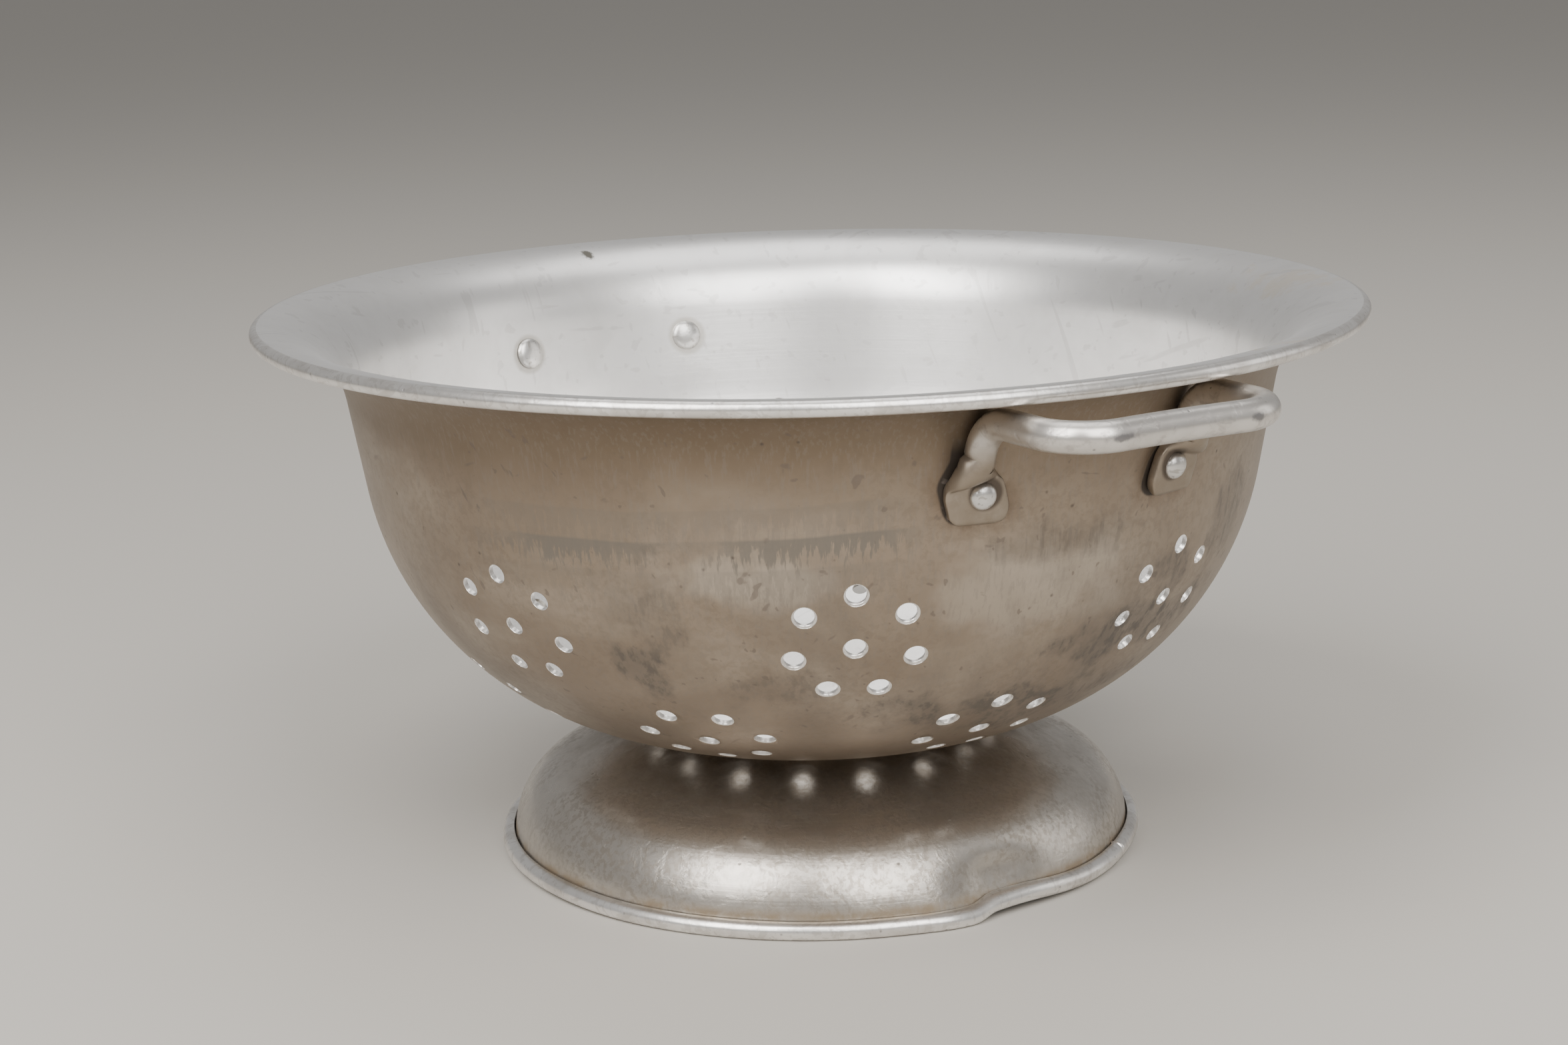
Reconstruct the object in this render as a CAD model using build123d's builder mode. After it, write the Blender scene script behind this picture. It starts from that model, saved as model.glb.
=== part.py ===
from build123d import *
import math
import os

# Footed colander: a spun bowl with a rolled rim, on a domed foot ring, with two riveted loop handles.
# Millimetres, +Z up. The origin is the centre of the circle on which the foot stands.
# The handles are on the +X and -X sides.

# Sheet metal and fasteners
sheet = 1.2  # wall of the bowl and of the foot
half = sheet / 2
head_gap = 0.1  # air under an inside rivet head, which sits on a curved wall

# Bowl: flat bottom, one round body arc, a straight cone, a flared lip and a rolled bead
rim_radius = 145.0
bowl_top = 145.4
bowl_bottom = 35.0  # underside of the flat bottom
flat_radius = 38.5
body_radius = 80.0  # outside of the round body
cone_angle = 9.65  # lean of the straight wall, degrees from upright
rim_bead = 3.9  # diameter of the rolled rim
rim_curl = 270  # how far the sheet is rolled, degrees

# Drain holes: clusters of a centre hole in a ring of holes, then a ring round the foot
hole_diameter = 4.8
cluster_ring_radius = 14.7
cluster_ring_holes = 7
clusters = 8
upper_cluster_lean = 65.0  # place on the body arc, degrees up from the bottom
lower_cluster_lean = 36.4
upper_cluster_start = -26.2  # first cluster's angle from +X, degrees
lower_cluster_start = -3.7
bottom_ring_holes = 18
bottom_ring_radius = 50.0
bottom_ring_start = 4.0

# Foot: flange under the bowl, neck, sloping shoulder, domed skirt and a rolled bead
foot_radius = 87.0
foot_bead = 4.6
foot_curl = 288
foot_wear = 0.15  # height worn off the bead where it stands
flange_inner = 26.0
neck_bend = 2.0  # middle of the sheet
neck_bend_angle = 60
neck_fillet = 4.0
shoulder_slope = 22
dome_radius = 22.0

# Handles: a round rod bent to a loop, with both ends flattened and riveted to the cone
rod = 7.3
bar_offset = 156.5  # bowl axis to the middle of the bar
handle_height = 136.0
leg_spread = 29.5  # middle of the handle to a leg
bar_bend = 12.0
knuckle_bend = 11.0
knuckle_radius = 125.6  # bowl axis to the rod, where the knuckle starts
rod_straight = 1.0  # straight rod under the knuckle
tab_width = 14.5
tab_thickness = 2.8
tab_neck = 10.5
tab_bottom = 111.0
tab_top = 124.0
tab_shoulder = 1.5  # above the rivet, where the tab starts to narrow
tab_corner = 3.2
tab_top_corner = tab_neck / 4
tab_slant = 16.0  # lean of the tab towards its leg, degrees
draw_end = 3.6  # above the rivet, where the rod is fully drawn down
draw_width = 11.5
draw_thickness = 3.2
draw_clearance = 0.15  # between the drawn end and the wall
rivet_height = 117.9
rivet_spread = 26.5
shank = 4.8
outer_head = 6.6
outer_head_rise = 2.2
inner_head = 9.0
inner_head_rise = 1.7

# Foot rivets: flange to bowl bottom
foot_rivets = 4
foot_rivet_radius = 33.0
foot_rivet_shank = 4.0
foot_rivet_head = 7.6
foot_rivet_rise = 1.5

cone = math.radians(cone_angle)
arc_centre = bowl_bottom + body_radius


def rolled_sheet(steps, start, side):
    """Draws one side of a bent sheet and gives its end points.

    steps are ("run", length) and ("bend", radius of the middle, turn), followed from start,
    along +X; side is how far this line lies to the left of the sheet's middle."""
    spot = Vector(start[0], start[1] + side)
    heading = Vector(1, 0)
    first = spot
    for kind, size, *turn in steps:
        if kind == "run":
            piece = PolarLine(spot, size, direction=heading)
        else:
            inside = side if turn[0] > 0 else -side
            piece = JernArc(spot, heading, size - inside, turn[0])
        spot = piece @ 1
        heading = piece % 1
    return first, spot


def sheet_section(steps, start):
    """The section of a bent sheet, in the XZ plane: its two sides, and a line across each end."""
    with BuildSketch(Plane.XZ) as section:
        with BuildLine():
            left_start, left_end = rolled_sheet(steps, start, half)
            right_start, right_end = rolled_sheet(steps, start, -half)
            Line(left_end, right_end)
            Line(left_start, right_start)
        make_face()
    return section.sketch


def bowl_outside(lean, azimuth, outside=0.0):
    """A plane on the outside of the body arc, facing outwards, with its X axis around the bowl."""
    slope = math.radians(lean)
    turn = math.radians(azimuth)
    out = Vector(math.cos(turn), math.sin(turn), 0)
    around = Vector(-math.sin(turn), math.cos(turn), 0)
    normal = out * math.sin(slope) - Vector(0, 0, math.cos(slope))
    centre = out * flat_radius + Vector(0, 0, arc_centre)
    return Plane(centre + normal * (body_radius + outside), x_dir=around, z_dir=normal)


def cluster_places(lean, azimuth, turn):
    """Places for the centre hole and the ring of holes of one cluster, on the curved wall."""
    radius = flat_radius + body_radius * math.sin(math.radians(lean))
    places = [bowl_outside(lean, azimuth, sheet)]
    for step in range(cluster_ring_holes):
        angle = math.radians(turn + step * 360 / cluster_ring_holes)
        rise = math.degrees(cluster_ring_radius * math.cos(angle) / body_radius)
        drift = math.degrees(cluster_ring_radius * math.sin(angle) / radius)
        places.append(bowl_outside(lean + rise, azimuth + drift, sheet))
    return places


# Where the handle rivets and tabs are, on the cone
cone_start_radius = flat_radius + body_radius * math.cos(cone)
cone_start_height = arc_centre - body_radius * math.sin(cone)


def cone_outside(height):
    """Radius of the cone's outside at a height."""
    return cone_start_radius + (height - cone_start_height) * math.tan(cone)


def tab_plane(end):
    """A plane on the cone at a rivet of the +X handle, facing outwards, with its Y axis up the wall."""
    radius = cone_outside(rivet_height)
    turn = math.asin(rivet_spread / radius) * end
    out = Vector(math.cos(turn), math.sin(turn), 0)
    up = out * math.sin(cone) + Vector(0, 0, math.cos(cone))
    normal = out * math.cos(cone) - Vector(0, 0, math.sin(cone))
    return Plane(out * radius + Vector(0, 0, rivet_height), x_dir=up.cross(normal), z_dir=normal)


sides = {"right": 0, "left": 180}  # where each handle is, degrees from +X
ends = {"front": -1, "back": 1}
flange_middle = bowl_bottom - half
foot_rivet_places = PolarLocations(foot_rivet_radius, foot_rivets, start_angle=45).local_locations

# Bowl. The lip's radius and the cone's length follow from the rim's place.
bead_roll = rim_bead / 2 - half
roll_start = rim_radius - rim_bead / 2
reach = roll_start - flat_radius - (body_radius - half) * math.cos(cone)
rise = bowl_top - bowl_bottom - sheet - (body_radius - half) * (1 - math.sin(cone))
lip_radius = (reach * math.cos(cone) - rise * math.sin(cone)) / (1 - math.sin(cone))
cone_length = (rise - lip_radius * (1 - math.sin(cone))) / math.cos(cone)
bowl_steps = [
    ("run", flat_radius),
    ("bend", body_radius - half, 90 - cone_angle),
    ("run", cone_length),
    ("bend", lip_radius, cone_angle - 90),
    ("bend", bead_roll, -rim_curl),
]

with BuildPart() as bowl:
    revolve(sheet_section(bowl_steps, (0, bowl_bottom + half)), axis=Axis.Z)
    punches = []
    for k in range(clusters):
        step = k * 360 / clusters
        half_turn = 180 / cluster_ring_holes * (k % 2)
        punches += cluster_places(upper_cluster_lean, upper_cluster_start + step, 0)
        punches += cluster_places(lower_cluster_lean, lower_cluster_start + step, half_turn)
    ring_lean = math.degrees(math.asin((bottom_ring_radius - flat_radius) / body_radius))
    for k in range(bottom_ring_holes):
        azimuth = bottom_ring_start + k * 360 / bottom_ring_holes
        punches.append(bowl_outside(ring_lean, azimuth, sheet))
    with Locations(*punches):
        Hole(hole_diameter / 2, depth=4 * sheet)
    with Locations(Location((0, 0, bowl_bottom + 2 * sheet))):
        Hole(hole_diameter / 2, depth=4 * sheet)
        with PolarLocations(cluster_ring_radius, cluster_ring_holes):
            Hole(hole_diameter / 2, depth=4 * sheet)
        with Locations(*foot_rivet_places):
            Hole(foot_rivet_shank / 2, depth=4 * sheet)
    for turn in sides.values():
        for end in ends.values():
            with Locations(Rotation(0, 0, turn) * tab_plane(end).offset(sheet).location):
                Hole(shank / 2, depth=4 * sheet)

# Foot. The flange's length follows from the foot's radius.
foot_roll = foot_bead / 2 - half
foot_roll_centre = foot_bead / 2 - foot_wear
skirt_radius = foot_radius - foot_bead + half
dome_middle = dome_radius - half
bend_out, slope = math.radians(neck_bend_angle), math.radians(shoulder_slope)
dome_top = foot_roll_centre + dome_middle * math.cos(slope)
dome_start = skirt_radius - dome_middle * (1 - math.sin(slope))
neck_drop = neck_bend * (1 - math.cos(bend_out)) + neck_fillet * (math.cos(slope) - math.cos(bend_out))
neck_reach = neck_bend * math.sin(bend_out) + neck_fillet * (math.sin(bend_out) - math.sin(slope))
shoulder_drop = flange_middle - neck_drop - dome_top
flange_end = dome_start - shoulder_drop / math.tan(slope) - neck_reach
foot_steps = [
    ("run", flange_end - flange_inner),
    ("bend", neck_bend, -neck_bend_angle),
    ("bend", neck_fillet, neck_bend_angle - shoulder_slope),
    ("run", shoulder_drop / math.sin(slope)),
    ("bend", dome_middle, shoulder_slope - 90),
    ("bend", foot_roll, foot_curl),
]

with BuildPart() as foot_ring:
    revolve(sheet_section(foot_steps, (flange_inner, flange_middle)), axis=Axis.Z)
    with Locations(Location((0, 0, bowl_bottom))):
        with Locations(*foot_rivet_places):
            Hole(foot_rivet_shank / 2, depth=2 * sheet)
    split(bisect_by=Plane.XY, keep=Keep.TOP)


def rivet(base, top, bottom, shank_size, heads, rises):
    """A set rivet on a plane, from top to bottom along its normal, with a domed head at each end."""
    section_plane = Plane(base.origin, x_dir=base.x_dir, z_dir=-base.y_dir)
    with BuildPart() as piece:
        with BuildSketch(section_plane):
            with BuildLine():
                crown = (0, top + rises[0])
                foot = (0, bottom - rises[1])
                TangentArc(crown, (heads[0] / 2, top), tangent=(1, 0))
                Line((heads[0] / 2, top), (shank_size / 2, top))
                Line((shank_size / 2, top), (shank_size / 2, bottom))
                Line((shank_size / 2, bottom), (heads[1] / 2, bottom))
                TangentArc(foot, (heads[1] / 2, bottom), tangent=(1, 0))
                Line(foot, crown)
            make_face()
        revolve(axis=Axis(base.origin, base.z_dir))
    return piece.part


# Handle on the +X side. The rod clears the lip; each end is drawn down to a flat, riveted tab.
leg_inset = math.sqrt(knuckle_radius**2 - leg_spread**2)
knuckle_start = handle_height - knuckle_bend
legs = []
for end in ends.values():
    y = leg_spread * end
    low_end = (leg_inset, y, knuckle_start - rod_straight)
    legs.append([low_end, (leg_inset, y, handle_height), (bar_offset, y, handle_height)])

with BuildPart() as handle:
    with BuildLine() as route:
        bends = [knuckle_bend, bar_bend, bar_bend, knuckle_bend]
        FilletPolyline(*legs[0], *reversed(legs[1]), radius=bends)
    with BuildSketch(Plane(route.line @ 0, z_dir=route.line % 0)):
        Circle(rod / 2)
    sweep(path=route.line)
    for end, leg in zip(ends.values(), legs):
        wall = tab_plane(end)
        lean = math.tan(math.radians(tab_slant)) * end
        low, high = tab_bottom - rivet_height, tab_top - rivet_height
        with BuildSketch(wall):
            with BuildLine():
                Polyline(
                    (-tab_width / 2, low),
                    (tab_width / 2, low),
                    (tab_width / 2 + tab_shoulder * lean, tab_shoulder),
                    (tab_neck / 2 + high * lean, high),
                    (-tab_neck / 2 + high * lean, high),
                    (-tab_width / 2 + tab_shoulder * lean, tab_shoulder),
                    close=True,
                )
            make_face()
            fillet(vertices().group_by(Axis.Y)[0], tab_corner)
            fillet(vertices().group_by(Axis.Y)[-1], tab_top_corner)
        extrude(amount=tab_thickness)
        root = (draw_end * lean, draw_end, draw_thickness / 2 + draw_clearance)
        root_plane = Plane(wall.from_local_coords(root), x_dir=wall.x_dir, z_dir=wall.y_dir)
        with BuildSketch(Plane(leg[0], x_dir=(0, 1, 0), z_dir=(0, 0, 1))):
            Circle(rod / 2)
        with BuildSketch(root_plane):
            RectangleRounded(draw_width, draw_thickness, draw_thickness / 2.2)
        loft()
        with Locations(wall.offset(2 * tab_thickness)):
            Hole(shank / 2, depth=3 * tab_thickness)

os.makedirs("parts", exist_ok=True)
pieces = {"bowl": bowl.part, "foot_ring": foot_ring.part}
for side, turn in sides.items():
    pieces[f"handle_{side}"] = handle.part.rotate(Axis.Z, turn)
    for end_name, end in ends.items():
        heads, rises = (outer_head, inner_head), (outer_head_rise, inner_head_rise)
        fixing = rivet(tab_plane(end), tab_thickness, -sheet - head_gap, shank, heads, rises)
        pieces[f"handle_rivet_{side}_{end_name}"] = fixing.rotate(Axis.Z, turn)
for number, place in enumerate(foot_rivet_places, 1):
    base = Plane(place.position + Vector(0, 0, bowl_bottom))
    heads, rises = (foot_rivet_head, foot_rivet_head), (foot_rivet_rise, foot_rivet_rise)
    pieces[f"foot_rivet_{number}"] = rivet(base, sheet, -sheet, foot_rivet_shank, heads, rises)

for name, piece in pieces.items():
    piece.label = name
    export_step(piece, f"parts/{name}.step")
    print(name, round(piece.volume), "mm3, solids:", len(piece.solids()))
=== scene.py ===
# %% [markdown]
# # A footed colander of spun aluminium
#
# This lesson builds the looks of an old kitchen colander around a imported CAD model.
# The CAD model fixes every size. Here each sheet, rod and rivet is made again as a fine mesh,
# with the dents and the dull, stained finish that years of use give to soft aluminium.
# Everything is in metres, with +Z up and the foot standing on z = 0.

# %% Load the frame
import math

import bmesh
import bpy
import numpy as np
from mathutils import Matrix, Vector


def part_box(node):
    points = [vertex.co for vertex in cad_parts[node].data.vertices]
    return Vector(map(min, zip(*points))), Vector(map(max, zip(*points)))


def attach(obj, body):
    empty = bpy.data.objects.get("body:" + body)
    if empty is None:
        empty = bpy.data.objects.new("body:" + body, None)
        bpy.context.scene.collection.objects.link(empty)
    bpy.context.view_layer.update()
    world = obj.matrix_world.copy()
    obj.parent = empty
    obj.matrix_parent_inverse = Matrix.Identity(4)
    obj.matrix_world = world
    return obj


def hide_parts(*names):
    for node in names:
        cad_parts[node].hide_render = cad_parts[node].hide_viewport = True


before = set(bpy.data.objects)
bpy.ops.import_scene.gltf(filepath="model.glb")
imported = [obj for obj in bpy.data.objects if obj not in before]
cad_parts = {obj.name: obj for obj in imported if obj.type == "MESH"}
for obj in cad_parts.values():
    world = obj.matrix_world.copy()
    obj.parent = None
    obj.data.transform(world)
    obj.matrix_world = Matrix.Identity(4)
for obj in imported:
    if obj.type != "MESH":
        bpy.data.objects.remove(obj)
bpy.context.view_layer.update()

MM = 0.001

# %% [markdown]
# ## The camera and the daylight
#
# The colander stands on a table and is seen from a little above, with one handle to the right.
# The camera is set from its place and from the point it looks at, and then rolled a little.
# It comes first, because every later cell is judged through it.

# %% Camera
CAMERA_PLACE = Vector((0.6257, -0.3745, 0.2557))
CAMERA_TARGET = Vector((-0.0039, -0.0066, 0.0852))
CAMERA_LENS_MM = 64.3
CAMERA_ROLL = math.radians(-1.53)

camera_data = bpy.data.cameras.new("camera")
camera_data.lens = CAMERA_LENS_MM
camera_data.sensor_width = 36.0
camera = bpy.data.objects.new("camera", camera_data)
aim = (CAMERA_TARGET - CAMERA_PLACE).to_track_quat("-Z", "Y").to_matrix().to_4x4()
camera.matrix_world = Matrix.Translation(CAMERA_PLACE) @ aim @ Matrix.Rotation(CAMERA_ROLL, 4, "Z")
bpy.context.scene.collection.objects.link(camera)
bpy.context.scene.camera = camera
print("camera distance:", round((CAMERA_TARGET - CAMERA_PLACE).length, 3), "m")

# %% [markdown]
# Soft aluminium shows its shape by what it mirrors, so the lights are large and pale. Two tall
# windows stand behind the camera, one to its left and one to its right. A dimmer light hangs high
# up, just past the colander, and the dimmest one fills the right side.

# %% Lights and floor
view_turn = math.atan2(CAMERA_PLACE.y, CAMERA_PLACE.x)


def area_light(name, turn_deg, distance, height, size, power, colour, aim_height=0.08):
    """A soft area light, placed around the colander by its angle from the camera's side."""
    data = bpy.data.lights.new(name, "AREA")
    data.shape = "RECTANGLE"
    data.size, data.size_y = size
    data.energy = power
    data.color = colour
    lamp = bpy.data.objects.new(name, data)
    angle = view_turn + math.radians(turn_deg)
    place = Vector((distance * math.cos(angle), distance * math.sin(angle), height))
    facing = (Vector((0, 0, aim_height)) - place).to_track_quat("-Z", "Y").to_matrix().to_4x4()
    lamp.matrix_world = Matrix.Translation(place) @ facing
    bpy.context.scene.collection.objects.link(lamp)
    return lamp


area_light("window", -36, 1.15, 1.15, (0.7, 1.3), 26.0, (1.0, 0.985, 0.965))
area_light("second_window", 24, 1.2, 1.1, (0.9, 1.3), 22.0, (1.0, 0.985, 0.965))
area_light("sky", 170, 0.4, 1.5, (1.2, 1.0), 7.0, (1.0, 0.99, 0.98))
area_light("fill", 95, 1.8, 0.7, (0.9, 1.2), 4.0, (1.0, 0.97, 0.93))

world = bpy.data.worlds.new("studio")
world.use_nodes = True
backdrop = world.node_tree.nodes["Background"]
backdrop.inputs["Color"].default_value = (0.84, 0.83, 0.82, 1)
backdrop.inputs["Strength"].default_value = 0.42
bpy.context.scene.world = world

FLOOR_SIZE = 60
bpy.ops.mesh.primitive_plane_add(size=FLOOR_SIZE, location=(0, 0, 0))
floor = bpy.context.object
floor.name = "floor"
floor_paint = bpy.data.materials.new("pale_floor")
floor_paint.use_nodes = True
floor_shader = floor_paint.node_tree.nodes["Principled BSDF"]
floor_shader.inputs["Base Color"].default_value = (0.50, 0.475, 0.435, 1)
floor_shader.inputs["Roughness"].default_value = 0.7
floor.data.materials.append(floor_paint)

# %% [markdown]
# ## Bent sheet
#
# The bowl and the foot are both spun from flat sheet over a former. A spun shape is one bent line,
# turned round an axis, so a small helper walks along that line as a list of runs and bends, at a
# given distance to one side of the sheet's middle. Walking it twice gives the two faces of the sheet.
# Each stretch gets its own number of steps, so that both faces have the same points.

# %% A line of runs and bends
def walk_sheet(steps, start, side, step_length):
    """Points (radius, height, distance walked) along one side of a bent sheet's middle line."""
    x, z, heading, walked = start[0], start[1], 0.0, 0.0
    points = [(x - side * math.sin(heading), z + side * math.cos(heading), walked)]
    for kind, size, *turn in steps:
        length = size if kind == "run" else size * abs(math.radians(turn[0]))
        count = max(2, math.ceil(length / step_length), math.ceil(abs(turn[0]) / 15) if turn else 0)
        for _ in range(count):
            bend = math.radians(turn[0]) / count if turn else 0.0
            chord = length / count if not turn else 2 * size * math.sin(abs(bend) / 2)
            heading += bend / 2
            x += chord * math.cos(heading)
            z += chord * math.sin(heading)
            heading += bend / 2
            walked += length / count
            points.append((x - side * math.sin(heading), z + side * math.cos(heading), walked))
    return points


# %% [markdown]
# The closed outline is turned round Z. Near a detail such as a split seam the turns are set closer,
# so the list of angles is an argument. Every vertex keeps how far along the sheet it lies and which
# face it belongs to, because the finishes need to know the outside from the inside.

# %% Spin an outline into a closed sheet
INSIDE, OUTSIDE = 0.0, 1.0


def spin_sheet(name, steps, start, thickness, step_length, angles):
    """A closed mesh: both faces of the sheet and its ends, with face values for its two sides."""
    inner = walk_sheet(steps, start, thickness / 2, step_length)
    outer = walk_sheet(steps, start, -thickness / 2, step_length)
    outline = outer + inner[::-1]
    sides = [OUTSIDE] * len(outer) + [INSIDE] * len(inner)
    on_axis = outline[0][0] < 1e-6
    verts, walked, side_of = [], [], []
    for angle in angles:
        for (radius, height, along), side in zip(outline, sides):
            verts.append((radius * math.cos(angle), radius * math.sin(angle), height))
            walked.append(along)
            side_of.append(side)
    rows, turns = len(outline), len(angles)
    faces = []
    for i in range(turns):
        j = (i + 1) % turns
        for k in range(rows):
            m = (k + 1) % rows
            if on_axis and m == 0:
                continue
            faces.append((i * rows + k, j * rows + k, j * rows + m, i * rows + m))
    mesh = bpy.data.meshes.new(name)
    mesh.from_pydata(verts, [], faces)
    for label, values in (("walked", walked), ("side", side_of)):
        layer = mesh.attributes.new(label, "FLOAT", "POINT")
        layer.data.foreach_set("value", values)
    bm = bmesh.new()
    bm.from_mesh(mesh)
    bmesh.ops.remove_doubles(bm, verts=bm.verts, dist=1e-7)
    bmesh.ops.recalc_face_normals(bm, faces=bm.faces)
    bm.to_mesh(mesh)
    bm.free()
    piece = bpy.data.objects.new(name, mesh)
    bpy.context.scene.collection.objects.link(piece)
    print(name, "turns", turns, "faces", len(mesh.polygons), "closed", is_closed(mesh))
    return piece


def is_closed(mesh):
    """True if every edge has two faces."""
    uses = np.zeros(len(mesh.edges), int)
    edge_of_loop = np.zeros(len(mesh.loops), int)
    mesh.loops.foreach_get("edge_index", edge_of_loop)
    np.add.at(uses, edge_of_loop, 1)
    return bool((uses == 2).all())


def read_points(mesh):
    """All the vertex places of a mesh, as an array."""
    places = np.zeros(len(mesh.vertices) * 3)
    mesh.vertices.foreach_get("co", places)
    return places.reshape(-1, 3)


def write_points(mesh, places):
    """Puts an array of vertex places back into a mesh."""
    mesh.vertices.foreach_set("co", places.ravel())
    mesh.update()


# %% [markdown]
# ## The bowl's sizes
#
# The bowl is a flat disc, a round body, a straight cone, a flared lip and a rolled bead. The frame
# gives the rim's radius, the bowl's top and bottom; the lip's radius and the cone's length then
# follow, because the bend has to end level, at the top of the bead.

# %% Bowl outline
SHEET = 1.2 * MM
FLAT_RADIUS = 38.5 * MM
BODY_RADIUS = 80.0 * MM
CONE_ANGLE = math.radians(9.65)
RIM_BEAD = 3.9 * MM
RIM_CURL = 270
bowl_low, bowl_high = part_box("bowl")
RIM_RADIUS = bowl_high.x

body_middle = BODY_RADIUS - SHEET / 2
bead_roll = RIM_BEAD / 2 - SHEET / 2
lip_reach = RIM_RADIUS - RIM_BEAD / 2 - FLAT_RADIUS - body_middle * math.cos(CONE_ANGLE)
lip_rise = bowl_high.z - bowl_low.z - SHEET - body_middle * (1 - math.sin(CONE_ANGLE))
lip_radius = lip_reach * math.cos(CONE_ANGLE) - lip_rise * math.sin(CONE_ANGLE)
lip_radius /= 1 - math.sin(CONE_ANGLE)
cone_length = (lip_rise - lip_radius * (1 - math.sin(CONE_ANGLE))) / math.cos(CONE_ANGLE)
BOWL_STEPS = [
    ("run", FLAT_RADIUS),
    ("bend", body_middle, 90 - math.degrees(CONE_ANGLE)),
    ("run", cone_length),
    ("bend", lip_radius, math.degrees(CONE_ANGLE) - 90),
    ("bend", bead_roll, -RIM_CURL),
]
print("lip radius", round(lip_radius / MM, 2), "mm, cone", round(cone_length / MM, 2), "mm")

# %% [markdown]
# The former leaves the sheet round, and use leaves it slightly out of true. Slow waves round the bowl
# and a few soft knocks are what make the reflections of old aluminium wander. They could be painted
# as bump, but as real shape they also show on the outline. Both faces move together, so the wall
# keeps its thickness, and the waves die away at the flat bottom and under the handles.

# %% Waves and knocks in the bowl
# A wave is (times round the bowl, depth in mm, phase, lean in degrees for 100 mm of height).
BOWL_WAVES = [
    (2, 0.30, 0.4, 0),
    (3, 0.22, 1.9, 20),
    (5, 0.12, 0.7, 45),
    (8, 0.05, 2.6, 80),
    (13, 0.03, 4.1, 120),
]
# A knock is (turn in degrees, height in mm, half width in degrees, half height in mm, depth in mm).
BOWL_KNOCKS = [
    (14, 73, 5.0, 7, 0.8),
    (-27, 62, 8.0, 8, 0.5),
    (-52, 96, 9.0, 9, 0.35),
    (-75, 58, 7.0, 9, 0.5),
    (118, 84, 8.0, 12, 0.6),
    (236, 70, 7.0, 9, 0.6),
]


def smooth_step(low, high, value):
    """0 below low, 1 above high, and a smooth rise between."""
    t = np.clip((value - low) / (high - low), 0, 1)
    return t * t * (3 - 2 * t)


def turn_between(angle, centre_deg):
    """Signed angle in degrees from a centre, for an array of angles in radians."""
    return (np.degrees(angle) - centre_deg + 180) % 360 - 180


def dent(places, knocks):
    """How far the knocks push each place in, in metres."""
    angle = np.arctan2(places[:, 1], places[:, 0])
    depth = np.zeros(len(places))
    for turn, height, wide, tall, deep in knocks:
        across = turn_between(angle, turn) / wide
        along = (places[:, 2] / MM - height) / tall
        depth += deep * MM * np.exp(-(across**2) - along**2)
    return depth


def push_out(places, distance):
    """Moves places away from the Z axis."""
    radius = np.maximum(np.hypot(places[:, 0], places[:, 1]), 1e-9)
    moved = places.copy()
    moved[:, :2] *= (1 + distance / radius)[:, None]
    return moved


def wear_bowl(places):
    """The bowl's waves and knocks."""
    angle = np.arctan2(places[:, 1], places[:, 0])
    radius = np.hypot(places[:, 0], places[:, 1])
    height = places[:, 2] / MM
    wave = 0
    for times, deep, phase, lean in BOWL_WAVES:
        wave = wave + deep * MM * np.cos(times * angle + phase + height / 100 * math.radians(lean))
    free = smooth_step(60 * MM, 105 * MM, radius)
    near_handle = np.exp(-((np.abs(np.cos(angle)) - 1) / 0.05) ** 2) * smooth_step(98, 108, height)
    return push_out(places, (wave - dent(places, BOWL_KNOCKS)) * free * (1 - near_handle))


BOWL_STEP = 2.4 * MM
bowl_angles = np.radians(np.arange(0, 360, 1.2))
bowl_start = (0.0, bowl_low.z + SHEET / 2)
bowl_blank = spin_sheet("bowl_blank", BOWL_STEPS, bowl_start, SHEET, BOWL_STEP, bowl_angles)
write_points(bowl_blank.data, wear_bowl(read_points(bowl_blank.data)))

# %% [markdown]
# ## Drain holes
#
# The holes are punched in clusters: a ring of seven round a middle hole, eight clusters high on the
# body, eight low down, then a ring round the foot and one cluster in the flat bottom. They follow a
# rule, so Geometry Nodes place them: the index of a point gives its cluster and its place in it, and
# the round body gives the point and the way it faces. One punch is copied to every point and cut
# away. The punch is a lathe shape that widens near the sheet's faces, so that each hole gets the
# small rounded lip that punching leaves.

# %% A helper that builds node trees
class TreeMaker:
    """Adds nodes to a tree and wires them, so that a tree reads like a formula."""

    def __init__(self, tree):
        self.tree = tree

    def node(self, kind, inputs=None, **settings):
        """A node with its settings, and its inputs given as sockets or plain values."""
        made = self.tree.nodes.new(kind)
        for key, value in settings.items():
            setattr(made, key, value)
        for key, value in (inputs or {}).items():
            self.feed(made.inputs[key], value)
        return made

    def feed(self, socket, value):
        """Wires a socket into an input, or sets the input's own value."""
        if isinstance(value, bpy.types.NodeSocket):
            self.tree.links.new(value, socket)
        else:
            socket.default_value = value

    def math(self, operation, first, second=0.0, third=0.0):
        """The result of a Math node."""
        made = self.node("ShaderNodeMath", operation=operation)
        for socket, value in zip(made.inputs, (first, second, third)):
            self.feed(socket, value)
        return made.outputs[0]

    def vector(self, operation, first, second=None, scale=None):
        """The vector result of a Vector Math node."""
        made = self.node("ShaderNodeVectorMath", operation=operation)
        self.feed(made.inputs[0], first)
        if second is not None:
            self.feed(made.inputs[1], second)
        if scale is not None:
            self.feed(made.inputs["Scale"], scale)
        return made.outputs[0]

    def combine(self, x, y, z):
        """Three numbers as one vector."""
        return self.node("ShaderNodeCombineXYZ", {"X": x, "Y": y, "Z": z}).outputs[0]


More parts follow.
